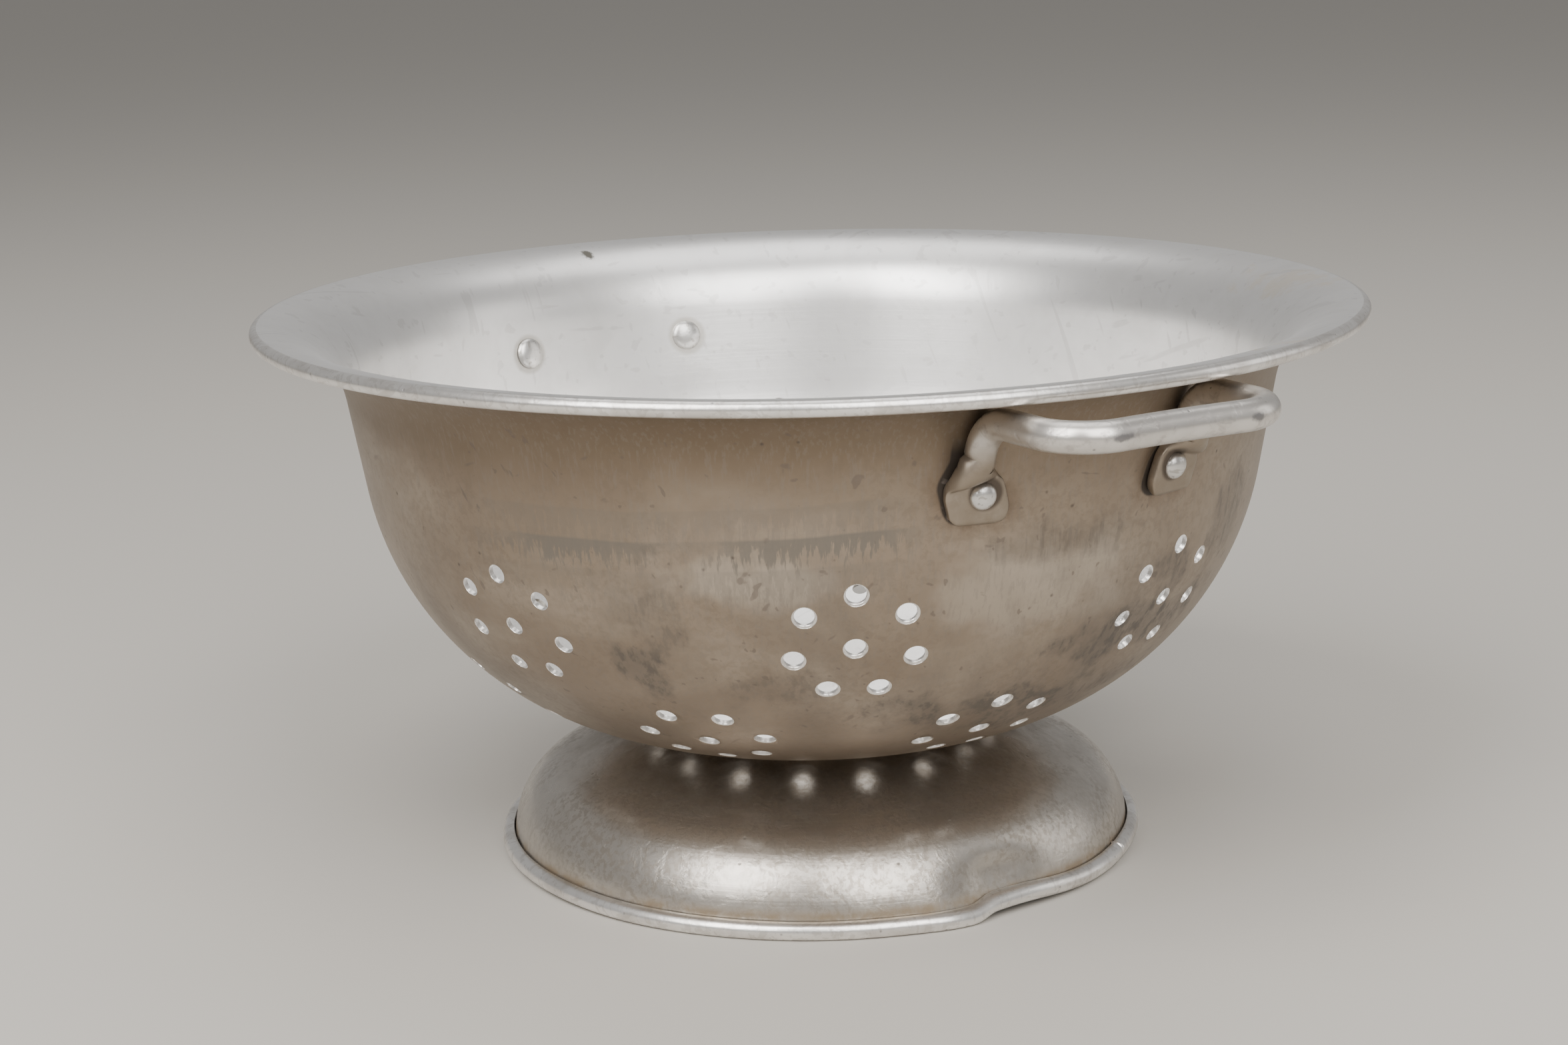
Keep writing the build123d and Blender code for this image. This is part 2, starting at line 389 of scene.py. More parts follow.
def new_group(name, kind, inputs, outputs):
    """An empty node group with named sockets, and the maker for its tree."""
    tree = bpy.data.node_groups.new(name, kind)
    for label, socket_type, value in inputs:
        socket = tree.interface.new_socket(label, in_out="INPUT", socket_type=socket_type)
        if value is not None:
            socket.default_value = value
    for label, socket_type in outputs:
        tree.interface.new_socket(label, in_out="OUTPUT", socket_type=socket_type)
    make = TreeMaker(tree)
    return tree, make, make.node("NodeGroupInput"), make.node("NodeGroupOutput")


def run_nodes(piece, tree, values):
    """Runs a geometry tree on an object once and leaves its result as a plain mesh."""
    modifier = piece.modifiers.new(tree.name, "NODES")
    modifier.node_group = tree
    for item in tree.interface.items_tree:
        if item.item_type == "SOCKET" and item.in_out == "INPUT" and item.name in values:
            modifier[item.identifier] = values[item.name]
    graph = bpy.context.evaluated_depsgraph_get()
    result = bpy.data.meshes.new_from_object(piece.evaluated_get(graph), depsgraph=graph)
    piece.modifiers.clear()
    piece.data = result
    return piece


# %% A lathe shape for small turned parts
def lathe(name, outline, sides):
    """A closed turned mesh from (radius, height) points that start and end on the axis."""
    verts = [(0, 0, outline[0][1]), (0, 0, outline[-1][1])]
    rings = []
    for radius, height in outline[1:-1]:
        rings.append(len(verts))
        for s in range(sides):
            angle = 2 * math.pi * s / sides
            verts.append((radius * math.cos(angle), radius * math.sin(angle), height))
    faces = []
    for s in range(sides):
        t = (s + 1) % sides
        faces.append((0, rings[0] + s, rings[0] + t))
        for a, b in zip(rings, rings[1:]):
            faces.append((a + s, b + s, b + t, a + t))
        faces.append((1, rings[-1] + t, rings[-1] + s))
    mesh = bpy.data.meshes.new(name)
    mesh.from_pydata(verts, [], faces)
    bm = bmesh.new()
    bm.from_mesh(mesh)
    bmesh.ops.recalc_face_normals(bm, faces=bm.faces)
    bm.to_mesh(mesh)
    bm.free()
    turned = bpy.data.objects.new(name, mesh)
    bpy.context.scene.collection.objects.link(turned)
    return turned


HOLE_RADIUS = 2.4 * MM
LIP = 0.28 * MM  # how far the edge of a hole is rounded
LIP_TOP = 0.05 * MM
PUNCH_TOP, PUNCH_SHOULDER, PUNCH_END = 1.2 * MM, 0.15 * MM, -3 * MM
PUNCH_SIDES = 28
shoulder_radius = HOLE_RADIUS + 2 * LIP
punch_outline = [(0, PUNCH_TOP), (shoulder_radius, PUNCH_TOP), (shoulder_radius, PUNCH_SHOULDER)]
for k in range(5):
    roll = math.pi / 2 * k / 4
    height = LIP_TOP - LIP * (1 - math.cos(roll)) - LIP * k / 8
    punch_outline.append((HOLE_RADIUS + LIP * (1 - math.sin(roll)), height))
punch_outline += [(HOLE_RADIUS, PUNCH_END), (0, PUNCH_END)]
punch = lathe("punch", punch_outline, PUNCH_SIDES)

# %% The tree that punches the holes
geometry, number, whole = "NodeSocketGeometry", "NodeSocketFloat", "NodeSocketInt"
RING_HOLES = 7  # holes round the middle one of a cluster
row_tree, make, given, result = new_group(
    "hole_row",
    "GeometryNodeTree",
    [
        ("Punch", geometry, None),
        ("Clusters", whole, 8),
        ("Holes round the middle", whole, RING_HOLES),
        ("Cluster radius", number, 0.0147),
        ("Lean", number, 1.0),
        ("Start angle", number, 0.0),
        ("Alternate turn", number, 0.0),
        ("Body radius", number, 0.08),
        ("Flat radius", number, 0.0385),
        ("Bottom", number, 0.035),
    ],
    [("Punches", geometry)],
)
get = given.outputs
per_cluster = make.math("ADD", get["Holes round the middle"], 1.0)
index = make.node("GeometryNodeInputIndex").outputs[0]
cluster = make.math("FLOOR", make.math("DIVIDE", make.math("ADD", index, 0.5), per_cluster))
place_in = make.math("SUBTRACT", index, make.math("MULTIPLY", cluster, per_cluster))
reach = make.math("MULTIPLY", make.math("MINIMUM", place_in, 1.0), get["Cluster radius"])
ring_pitch = make.math("DIVIDE", 2 * math.pi, make.math("MAXIMUM", get["Holes round the middle"], 1.0))
odd = make.math("MODULO", cluster, 2.0)
other_turn = make.math("MULTIPLY", odd, get["Alternate turn"])
ring_turn = make.math("MULTIPLY_ADD", place_in, ring_pitch, other_turn)
rise = make.math("DIVIDE", make.math("MULTIPLY", reach, make.math("COSINE", ring_turn)), get["Body radius"])
lean = make.math("ADD", get["Lean"], rise)
lean_sine = make.math("SINE", get["Lean"])
middle_radius = make.math("MULTIPLY_ADD", get["Body radius"], lean_sine, get["Flat radius"])
drift = make.math("DIVIDE", make.math("MULTIPLY", reach, make.math("SINE", ring_turn)), middle_radius)
pitch = make.math("DIVIDE", 2 * math.pi, get["Clusters"])
turn = make.math("ADD", make.math("MULTIPLY_ADD", cluster, pitch, get["Start angle"]), drift)
radius = make.math("MULTIPLY_ADD", get["Body radius"], make.math("SINE", lean), get["Flat radius"])
drop = make.math("SUBTRACT", 1.0, make.math("COSINE", lean))
height = make.math("MULTIPLY_ADD", get["Body radius"], drop, get["Bottom"])
cosine, sine = make.math("COSINE", turn), make.math("SINE", turn)
place = make.combine(make.math("MULTIPLY", radius, cosine), make.math("MULTIPLY", radius, sine), height)
flat = make.math("SINE", lean)
normal = make.combine(
    make.math("MULTIPLY", flat, cosine),
    make.math("MULTIPLY", flat, sine),
    make.math("MULTIPLY", make.math("COSINE", lean), -1.0),
)
hole_count = make.math("MULTIPLY", get["Clusters"], per_cluster)
points = make.node("GeometryNodePoints", {"Count": hole_count, "Position": place})
facing = make.node("FunctionNodeAlignRotationToVector", {"Vector": normal}, axis="Z")
copies = make.node(
    "GeometryNodeInstanceOnPoints",
    {"Points": points.outputs[0], "Instance": get["Punch"], "Rotation": facing.outputs[0]},
)
make.feed(result.inputs["Punches"], copies.outputs[0])
print("hole row tree:", len(row_tree.nodes), "nodes")

# %% [markdown]
# The whole bowl tree uses that row three times, adds the cluster in the flat bottom, and cuts
# every copy of the punch out of the blank. Then it names the finish of each zone: the outside of the
# bowl, the bright inside, and the rolled bead, which is rubbed bright by hands and cloths.

# %% The tree for the bowl
bowl_tree, make, given, result = new_group(
    "perforated_bowl",
    "GeometryNodeTree",
    [
        ("Blank", geometry, None),
        ("Punch", "NodeSocketObject", None),
        ("Outside finish", "NodeSocketMaterial", None),
        ("Inside finish", "NodeSocketMaterial", None),
        ("Bead finish", "NodeSocketMaterial", None),
        ("Cluster radius", number, 0.0147),
        ("Upper lean", number, 1.0),
        ("Lower lean", number, 1.0),
        ("Upper start", number, 0.0),
        ("Lower start", number, 0.0),
        ("Foot ring holes", whole, 18),
        ("Foot ring radius", number, 0.05),
        ("Foot ring start", number, 0.0),
        ("Body radius", number, 0.08),
        ("Flat radius", number, 0.0385),
        ("Bottom", number, 0.035),
    ],
    [("Bowl", geometry)],
)
get = given.outputs
punch_shape = make.node("GeometryNodeObjectInfo", {"Object": get["Punch"]}).outputs["Geometry"]
shared = {
    "Punch": punch_shape,
    "Body radius": get["Body radius"],
    "Flat radius": get["Flat radius"],
    "Bottom": get["Bottom"],
}
half_pitch = math.pi / RING_HOLES


def add_row(values):
    """One use of the hole row group inside the bowl's tree."""
    row = make.node("GeometryNodeGroup", node_tree=row_tree)
    for key, value in {**shared, **values}.items():
        make.feed(row.inputs[key], value)
    return row.outputs[0]


upper = add_row({
    "Lean": get["Upper lean"],
    "Start angle": get["Upper start"],
    "Cluster radius": get["Cluster radius"],
})
lower = add_row({
    "Lean": get["Lower lean"],
    "Start angle": get["Lower start"],
    "Cluster radius": get["Cluster radius"],
    "Alternate turn": half_pitch,
})
past_flat = make.math("SUBTRACT", get["Foot ring radius"], get["Flat radius"])
foot_lean = make.math("ARCSINE", make.math("DIVIDE", past_flat, get["Body radius"]))
foot_ring_holes = add_row({
    "Clusters": get["Foot ring holes"],
    "Holes round the middle": 0,
    "Lean": foot_lean,
    "Start angle": get["Foot ring start"],
})
ring_size = {"Vertices": RING_HOLES, "Radius": get["Cluster radius"]}
ring_points = make.node("GeometryNodeMeshCircle", ring_size, fill_type="NONE")
middle_point = make.node("GeometryNodePoints", {"Count": 1})
bottom_points = make.node("GeometryNodeJoinGeometry")
make.tree.links.new(middle_point.outputs[0], bottom_points.inputs[0])
as_points = make.node("GeometryNodeMeshToPoints", {"Mesh": ring_points.outputs[0]})
make.tree.links.new(as_points.outputs[0], bottom_points.inputs[0])
up_to_bottom = make.combine(0, 0, get["Bottom"])
set_down = make.node(
    "GeometryNodeSetPosition",
    {"Geometry": bottom_points.outputs[0], "Offset": up_to_bottom},
)
bottom_copies = make.node(
    "GeometryNodeInstanceOnPoints",
    {"Points": set_down.outputs[0], "Instance": punch_shape, "Rotation": (math.pi, 0, 0)},
)
cut = make.node("GeometryNodeMeshBoolean", {"Mesh 1": get["Blank"]}, operation="DIFFERENCE", solver="EXACT")
for copies_of_punch in (upper, lower, foot_ring_holes, bottom_copies.outputs[0]):
    make.tree.links.new(copies_of_punch, cut.inputs["Mesh 2"])
finish = make.node("GeometryNodeRealizeInstances", {"Geometry": cut.outputs[0]}).outputs[0]
zone = make.node("GeometryNodeInputNamedAttribute", {"Name": "zone"}, data_type="FLOAT").outputs[0]


def set_finish(mesh, chosen, label):
    """Gives the chosen faces one of the tree's finishes."""
    values = {"Geometry": mesh, "Selection": chosen, "Material": get[label]}
    return make.node("GeometryNodeSetMaterial", values).outputs[0]


for label, low, high in (
    ("Outside finish", 0.5, 1.5),
    ("Inside finish", 1.5, 2.5),
    ("Bead finish", 2.5, 3.5),
):
    above, below = make.math("GREATER_THAN", zone, low), make.math("LESS_THAN", zone, high)
    finish = set_finish(finish, make.math("MULTIPLY", above, below), label)
# The cut edges of the holes come from the punch, which has no zone.
finish = set_finish(finish, make.math("LESS_THAN", zone, 0.5), "Bead finish")
make.feed(result.inputs["Bowl"], finish)
print("bowl tree:", len(bowl_tree.nodes), "nodes")

# %% Zones of the blank
ZONE_OUTSIDE, ZONE_INSIDE, ZONE_BEAD = 1.0, 2.0, 3.0


def mark_zones(piece, bead_from):
    """Gives every face the number of its zone, from the side it is on and how far along it lies."""
    mesh = piece.data
    side = np.zeros(len(mesh.vertices))
    walked = np.zeros(len(mesh.vertices))
    mesh.attributes["side"].data.foreach_get("value", side)
    mesh.attributes["walked"].data.foreach_get("value", walked)
    zones = np.zeros(len(mesh.polygons))
    for face in mesh.polygons:
        corners = list(face.vertices)
        if walked[corners].mean() > bead_from:
            zones[face.index] = ZONE_BEAD
        else:
            zones[face.index] = ZONE_OUTSIDE if side[corners].mean() > 0.5 else ZONE_INSIDE
    layer = mesh.attributes.new("zone", "FLOAT", "FACE")
    layer.data.foreach_set("value", zones)


def length_of(steps):
    """The length of a bent sheet's middle line."""
    return sum(s[1] if s[0] == "run" else s[1] * abs(math.radians(s[2])) for s in steps)


BEAD_OVERLAP = 0.6 * MM  # the rubbed zone starts a little before the bead
mark_zones(bowl_blank, length_of(BOWL_STEPS[:-1]) - BEAD_OVERLAP)

# %% Materials, and the finished bowl
FINISH_NAMES = ["bowl_outside", "bowl_inside", "worn_bead", "foot_outside", "foot_inside"]
FINISH_NAMES += ["handle_metal", "rivet_metal"]
materials = {}
for label in FINISH_NAMES:
    materials[label] = bpy.data.materials.new(label)
    materials[label].use_nodes = True


def shade_by_angle(piece, degrees):
    """Smooth shading, with edges sharper than an angle kept crisp."""
    piece.data.shade_smooth()
    piece.data.set_sharp_from_angle(angle=math.radians(degrees))


def remove_tool(tool):
    """Removes a tool, such as the punch, that isn't part of the object."""
    bpy.data.objects.remove(tool)


CLUSTER_RADIUS = 14.7 * MM
UPPER_LEAN, UPPER_START = math.radians(65.0), math.radians(-26.2)
LOWER_LEAN, LOWER_START = math.radians(36.4), math.radians(-3.7)
FOOT_RING_RADIUS, FOOT_RING_START = 50.0 * MM, math.radians(4.0)
bowl = run_nodes(
    bowl_blank,
    bowl_tree,
    {
        "Punch": punch,
        "Outside finish": materials["bowl_outside"],
        "Inside finish": materials["bowl_inside"],
        "Bead finish": materials["worn_bead"],
        "Cluster radius": CLUSTER_RADIUS,
        "Upper lean": UPPER_LEAN,
        "Lower lean": LOWER_LEAN,
        "Upper start": UPPER_START,
        "Lower start": LOWER_START,
        "Foot ring start": FOOT_RING_START,
        "Foot ring radius": FOOT_RING_RADIUS,
        "Body radius": BODY_RADIUS,
        "Flat radius": FLAT_RADIUS,
        "Bottom": bowl_low.z,
    },
)
bowl.name = "perforated_bowl"
remove_tool(punch)
shade_by_angle(bowl, 38)
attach(bowl, "root")
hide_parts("bowl")
print("bowl faces:", len(bowl.data.polygons), "closed:", is_closed(bowl.data),
      "materials:", [m.name if m else None for m in bowl.data.materials])

# %% [markdown]
# ## The foot
#
# The foot is a second spun sheet: a flange under the bowl, a neck, a sloping shoulder, a domed skirt
# and a bead rolled outwards. It has had a hard life. A knock has pushed the skirt in and kinked the
# bead near one side, and a little farther round the bead has split. The turns of the mesh are closer
# together at the split, so that a hairline groove can be pressed into it.

# %% Foot outline and its damage
FOOT_BEAD = 4.6 * MM
FOOT_CURL = 288
FOOT_WEAR = 0.15 * MM
FLANGE_INNER = 26.0 * MM
NECK_BEND, NECK_TURN = 2.0 * MM, math.radians(60)
NECK_FILLET = 4.0 * MM
SHOULDER_SLOPE = math.radians(22)
DOME_RADIUS = 22.0 * MM
foot_low, foot_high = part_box("foot_ring")
FOOT_RADIUS = foot_high.x

foot_roll = FOOT_BEAD / 2 - SHEET / 2
foot_roll_height = FOOT_BEAD / 2 - FOOT_WEAR
dome_middle = DOME_RADIUS - SHEET / 2
dome_top = foot_roll_height + dome_middle * math.cos(SHOULDER_SLOPE)
dome_start = FOOT_RADIUS - FOOT_BEAD + SHEET / 2 - dome_middle * (1 - math.sin(SHOULDER_SLOPE))
slope_cos, slope_sin = math.cos(SHOULDER_SLOPE), math.sin(SHOULDER_SLOPE)
neck_drop = NECK_BEND * (1 - math.cos(NECK_TURN)) + NECK_FILLET * (slope_cos - math.cos(NECK_TURN))
neck_reach = NECK_BEND * math.sin(NECK_TURN) + NECK_FILLET * (math.sin(NECK_TURN) - slope_sin)
shoulder_drop = foot_high.z - SHEET / 2 - neck_drop - dome_top
flange_end = dome_start - shoulder_drop / math.tan(SHOULDER_SLOPE) - neck_reach
FOOT_STEPS = [
    ("run", flange_end - FLANGE_INNER),
    ("bend", NECK_BEND, -math.degrees(NECK_TURN)),
    ("bend", NECK_FILLET, math.degrees(NECK_TURN - SHOULDER_SLOPE)),
    ("run", shoulder_drop / math.sin(SHOULDER_SLOPE)),
    ("bend", dome_middle, math.degrees(SHOULDER_SLOPE) - 90),
    ("bend", foot_roll, FOOT_CURL),
]
SPLIT_TURN = 35.3
FOOT_KNOCKS = [
    (0, 9, 10.0, 6.0, 2.6),
    (-14, 16, 16.0, 8.0, 0.5),
    (22, 12, 9.0, 8.0, 0.6),
    (-62, 10, 14.0, 8.0, 0.5),
    (-100, 12, 12.0, 7.0, 0.5),
    (130, 12, 14.0, 7.0, 0.9),
    (205, 10, 12.0, 7.0, 0.7),
]


def wear_foot(places):
    """The knocks in the skirt, the kinked bead and the split in it."""
    angle = np.arctan2(places[:, 1], places[:, 0])
    height = places[:, 2] / MM
    skirt = smooth_step(60 * MM, 78 * MM, np.hypot(places[:, 0], places[:, 1]))
    low = 1 - smooth_step(7, 20, height)
    waves = 0.35 * np.cos(2 * angle + 1.0) + 0.2 * np.cos(5 * angle + 0.3) + 0.08 * np.cos(11 * angle)
    moved = push_out(places, (waves * MM - dent(places, FOOT_KNOCKS)) * skirt)
    past_kink = turn_between(angle, -2.5)
    kink = np.exp(-((past_kink - 7) / 13.0) ** 2) * smooth_step(-3.0, 2.5, past_kink)
    bulge = np.exp(-((past_kink + 6) / 6.0) ** 2)
    moved = push_out(moved, (0.7 * bulge - 1.3 * kink) * MM * skirt * low)
    lift = 1.7 * kink + 0.5 * np.exp(-((turn_between(angle, -88)) / 22) ** 2)
    lift += 0.7 * np.exp(-((turn_between(angle, SPLIT_TURN + 4)) / 12) ** 2)
    moved[:, 2] += lift * MM * skirt * low
    groove = np.exp(-((turn_between(angle, SPLIT_TURN) / 0.28) ** 2)) * (height < 4.9)
    return push_out(moved, -0.9 * MM * groove * skirt)


foot_turns = np.arange(0, 360, 1.0)
fine_turns = SPLIT_TURN + np.array([-0.6, -0.35, -0.2, -0.08, 0.0, 0.08, 0.2, 0.35, 0.6])
foot_angles = np.radians(np.sort(np.concatenate([foot_turns, fine_turns])))
FOOT_STEP = 1.5 * MM
foot_start = (FLANGE_INNER, foot_high.z - SHEET / 2)
foot = spin_sheet("worn_foot", FOOT_STEPS, foot_start, SHEET, FOOT_STEP, foot_angles)
worn = wear_foot(read_points(foot.data))
worn[:, 2] = np.maximum(worn[:, 2], 0.0)
write_points(foot.data, worn)
mark_zones(foot, length_of(FOOT_STEPS[:-1]) + 0.2 * MM)


def finish_by_zone(piece, finishes):
    """Gives a mesh one material for each zone: outside, inside and bead."""
    for finish_material in finishes:
        piece.data.materials.append(finish_material)
    zones = np.zeros(len(piece.data.polygons))
    piece.data.attributes["zone"].data.foreach_get("value", zones)
    piece.data.polygons.foreach_set("material_index", zones.astype(int) - 1)


finish_by_zone(foot, [materials["foot_outside"], materials["foot_inside"], materials["worn_bead"]])
shade_by_angle(foot, 60)
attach(foot, "root")
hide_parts("foot_ring")

# %% [markdown]
# ## The handles
#
# Each handle is one bent rod whose ends are hammered into flat tabs, so its section changes along
# its length: a thin flat at the rivet, a thick wedge at the knuckle, and round from there on. A mesh
# that is swept along a route with a changing section shows this well. Half a handle is made from the
# tab to the middle of the bar, and the other half is its mirror image.

# %% Route and section of half a handle
ROD = 7.3 * MM
BAR_OFFSET = 156.5 * MM
HANDLE_HEIGHT = 136.0 * MM
LEG_SPREAD = 29.5 * MM
BAR_BEND, KNUCKLE_BEND = 12.0 * MM, 11.0 * MM
KNUCKLE_RADIUS = 125.6 * MM
TAB_WIDTH, TAB_THICKNESS = 14.5 * MM, 2.8 * MM
TAB_BOTTOM = 111.0 * MM
TAB_NARROWS = (118.5 * MM, 126.5 * MM)
DRAWN_FROM = 120.2 * MM  # where the flat tab starts to thicken into the rod
DIP_DEPTH, DIP_HEIGHT_MM, DIP_SPREAD_MM = 0.5 * MM, 122.0, 1.2  # a hammered dip above the rivet
TAB_CORNER = 3.4 * MM
BAR_BOW = 0.6 * MM  # how far the middle of the bar bends in towards the bowl
RIVET_HEIGHT, RIVET_SPREAD = 117.9 * MM, 26.5 * MM
cone_start = Vector((
    FLAT_RADIUS + BODY_RADIUS * math.cos(CONE_ANGLE),
    bowl_low.z + BODY_RADIUS * (1 - math.sin(CONE_ANGLE)),
))
KNUCKLE_START = HANDLE_HEIGHT - KNUCKLE_BEND
LEG_INSET = math.sqrt(KNUCKLE_RADIUS**2 - LEG_SPREAD**2)


def cone_radius(height):
    """Radius of the outside of the bowl's cone at a height."""
    return cone_start.x + (height - cone_start.y) * math.tan(CONE_ANGLE)


def blend_between(low, high, value):
    """The smooth step for a single number."""
    return float(smooth_step(low, high, value))


def half_route():
    """Stations from the tab's end to the middle of the bar.

    Each one is (place, outward direction, width, thickness, squareness).
    """
    stations = []
    for k in range(27):
        height = TAB_BOTTOM + (KNUCKLE_START - TAB_BOTTOM) * (k / 26)
        lean_share = blend_between(TAB_BOTTOM, KNUCKLE_START, height)
        spread = RIVET_SPREAD + (LEG_SPREAD - RIVET_SPREAD) * lean_share
        drawn = blend_between(DRAWN_FROM, KNUCKLE_START, height)
        dip = DIP_DEPTH * math.exp(-(((height / MM - DIP_HEIGHT_MM) / DIP_SPREAD_MM) ** 2))
        thick = TAB_THICKNESS + (ROD - TAB_THICKNESS) * drawn - dip
        wide = TAB_WIDTH + (ROD - TAB_WIDTH) * blend_between(*TAB_NARROWS, height)
        from_end = height - TAB_BOTTOM
        if from_end < TAB_CORNER:
            wide -= 2 * (TAB_CORNER - math.sqrt(TAB_CORNER**2 - (TAB_CORNER - from_end) ** 2))
            thick *= 0.62 + 0.38 * min(1, from_end / (1.0 * MM))
        radius = cone_radius(height)
        turn = math.asin(spread / radius)
        out = Vector((math.cos(turn), math.sin(turn), -math.tan(CONE_ANGLE) * (1 - drawn))).normalized()
        lift = thick / 2 + 0.05 * MM
        lift += (KNUCKLE_RADIUS - ROD / 2 - radius) * drawn
        base = Vector((radius * math.cos(turn), radius * math.sin(turn), height))
        ahead = out.lerp(Vector((1, 0, 0)), drawn).normalized()
        stations.append((base + out * lift, ahead, wide, thick, 1 - drawn))
    knuckle_centre = Vector((LEG_INSET + KNUCKLE_BEND, LEG_SPREAD, KNUCKLE_START))
    for k in range(1, 13):
        turn = math.pi / 2 * k / 12
        ahead = Vector((math.cos(turn), 0, -math.sin(turn)))
        stations.append((knuckle_centre - ahead * KNUCKLE_BEND, ahead, ROD, ROD, 0.0))
    bend_centre = Vector((BAR_OFFSET - BAR_BEND, LEG_SPREAD - BAR_BEND, HANDLE_HEIGHT))
    leg_start = stations[-1][0]
    leg_end = bend_centre + Vector((0, BAR_BEND, 0))
    down = Vector((0, 0, -1))
    for k in range(1, 5):
        stations.append((leg_start.lerp(leg_end, k / 5), down, ROD, ROD, 0.0))
    for k in range(15):
        turn = math.pi / 2 * (1 - k / 14)
        place = bend_centre + BAR_BEND * Vector((math.cos(turn), math.sin(turn), 0))
        stations.append((place, down, ROD, ROD, 0.0))
    bar_start = stations[-1][0]
    bar_middle = Vector((BAR_OFFSET, 0, HANDLE_HEIGHT))
    for k in range(1, 10):
        bow = BAR_BOW * math.sin(math.pi / 2 * k / 9)
        place = bar_start.lerp(bar_middle, k / 9) - Vector((bow, 0, 0))
        stations.append((place, down, ROD, ROD, 0.0))
    return stations


def section_ring(place, ahead, along, wide, thick, square, sides):
    """One closed section: a circle on the rod, a rounded oblong on the tab."""
    outward = (ahead - along * ahead.dot(along)).normalized()
    across = along.cross(outward)
    power = 2 / (2 + 4.5 * square)
    ring = []
    for s in range(sides):
        angle = 2 * math.pi * s / sides
        x, y = math.cos(angle), math.sin(angle)
        x = math.copysign(abs(x) ** power, x) * wide / 2
        y = math.copysign(abs(y) ** power, y) * thick / 2
        ring.append(place + across * x + outward * y)
    return ring


# %% The handle meshes
def handle_mesh(name, turn_deg):
    """A whole handle, turned about Z to its side of the bowl."""
    sides = 40
    stations = half_route()
    places = [s[0] for s in stations]
    rings = []
    for k, (place, ahead, wide, thick, square) in enumerate(stations):
        along = (places[min(k + 1, len(places) - 1)] - places[max(k - 1, 0)]).normalized()
        rings.append(section_ring(place, ahead, along, wide, thick, square, sides))
    mirrored = [[Vector((p.x, -p.y, p.z)) for p in ring] for ring in rings[-2::-1]]
    rings += mirrored
    turn = Matrix.Rotation(math.radians(turn_deg), 4, "Z")
    verts = [turn @ p for ring in rings for p in ring]
    faces = [list(range(sides))[::-1], [len(verts) - sides + s for s in range(sides)]]
    for k in range(len(rings) - 1):
        for s in range(sides):
            t = (s + 1) % sides
            faces.append((k * sides + s, k * sides + t, (k + 1) * sides + t, (k + 1) * sides + s))
    mesh = bpy.data.meshes.new(name)
    mesh.from_pydata(verts, [], faces)
    bm = bmesh.new()
    bm.from_mesh(mesh)
    bmesh.ops.recalc_face_normals(bm, faces=bm.faces)
    bm.to_mesh(mesh)
    bm.free()
    piece = bpy.data.objects.new(name, mesh)
    bpy.context.scene.collection.objects.link(piece)
    mesh.materials.append(materials["handle_metal"])
    shade_by_angle(piece, 50)
    print(name, "faces:", len(mesh.polygons), "closed:", is_closed(mesh))
    return piece


handles = {"right": handle_mesh("bent_handle_right", 0), "left": handle_mesh("bent_handle_left", 180)}
for side_name, handle in handles.items():
    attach(handle, "root")
    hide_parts(f"handle_{side_name}")

# %% [markdown]
# ## Rivets
#
# Four rivets hold the handles and four hold the foot. Each kind is one lathe shape, copied to its
# places by a small tree that takes its points and the way each one faces from a mesh of single
# vertices. A set rivet is never quite round, so each copy is turned and scaled a little at random,
# from a fixed seed.

# %% Rivet shapes and places
def dome_outline(radius, rise, base, up, steps):
    """Points of a low dome, from its crown to its edge, above or below a plane."""
    outline = []
    for k in range(steps + 1):
        turn = math.pi / 2 * k / steps
        outline.append((radius * math.sin(turn) ** 0.92, base + up * rise * math.cos(turn)))
    return outline


def rivet_shape(name, shank, outer, inner, top, bottom):
    """A rivet along Z, with a dome at each end; outer and inner are (diameter, rise)."""
    upper_head = dome_outline(outer[0] / 2, outer[1], top, 1, 9)
    lower_head = dome_outline(inner[0] / 2, inner[1], bottom, -1, 9)
    return lathe(name, upper_head + [(shank / 2, top), (shank / 2, bottom)] + lower_head[::-1], 32)


rivet_tree, make, given, result = new_group(
    "set_rivets",
    "GeometryNodeTree",
    [
        ("Places", geometry, None),
        ("Rivet", "NodeSocketObject", None),
        ("Finish", "NodeSocketMaterial", None),
        ("Size spread", number, 0.04),
        ("Seed", whole, 3),
    ],
    [("Rivets", geometry)],
)
get = given.outputs
named = make.node("GeometryNodeInputNamedAttribute", {"Name": "facing"}, data_type="FLOAT_VECTOR")
facing = make.node("FunctionNodeAlignRotationToVector", {"Vector": named.outputs[0]}, axis="Z")
spun = make.node("FunctionNodeRandomValue", {"Seed": get["Seed"]}, data_type="FLOAT")
spun.inputs[3].default_value = 2 * math.pi
own_turn = make.node("FunctionNodeAxisAngleToRotation", {"Axis": (0, 0, 1), "Angle": spun.outputs[1]})
both_turns = make.node(
    "FunctionNodeRotateRotation",
    {"Rotation": facing.outputs[0], "Rotate By": own_turn.outputs[0]},
    rotation_space="LOCAL",
)
next_seed = make.math("ADD", get["Seed"], 1.0)
uneven = make.node("FunctionNodeRandomValue", {"Seed": next_seed}, data_type="FLOAT")
uneven.inputs[2].default_value = 0.0
uneven.inputs[3].default_value = 1.0
smaller = make.math("SUBTRACT", 1.0, make.math("MULTIPLY", uneven.outputs[1], get["Size spread"]))
size = make.combine(1.0, smaller, 1.0)
rivet_geometry = make.node("GeometryNodeObjectInfo", {"Object": get["Rivet"]}).outputs["Geometry"]
copies = make.node(
    "GeometryNodeInstanceOnPoints",
    {"Points": get["Places"], "Instance": rivet_geometry, "Rotation": both_turns.outputs[0], "Scale": size},
)
real = make.node("GeometryNodeRealizeInstances", {"Geometry": copies.outputs[0]})
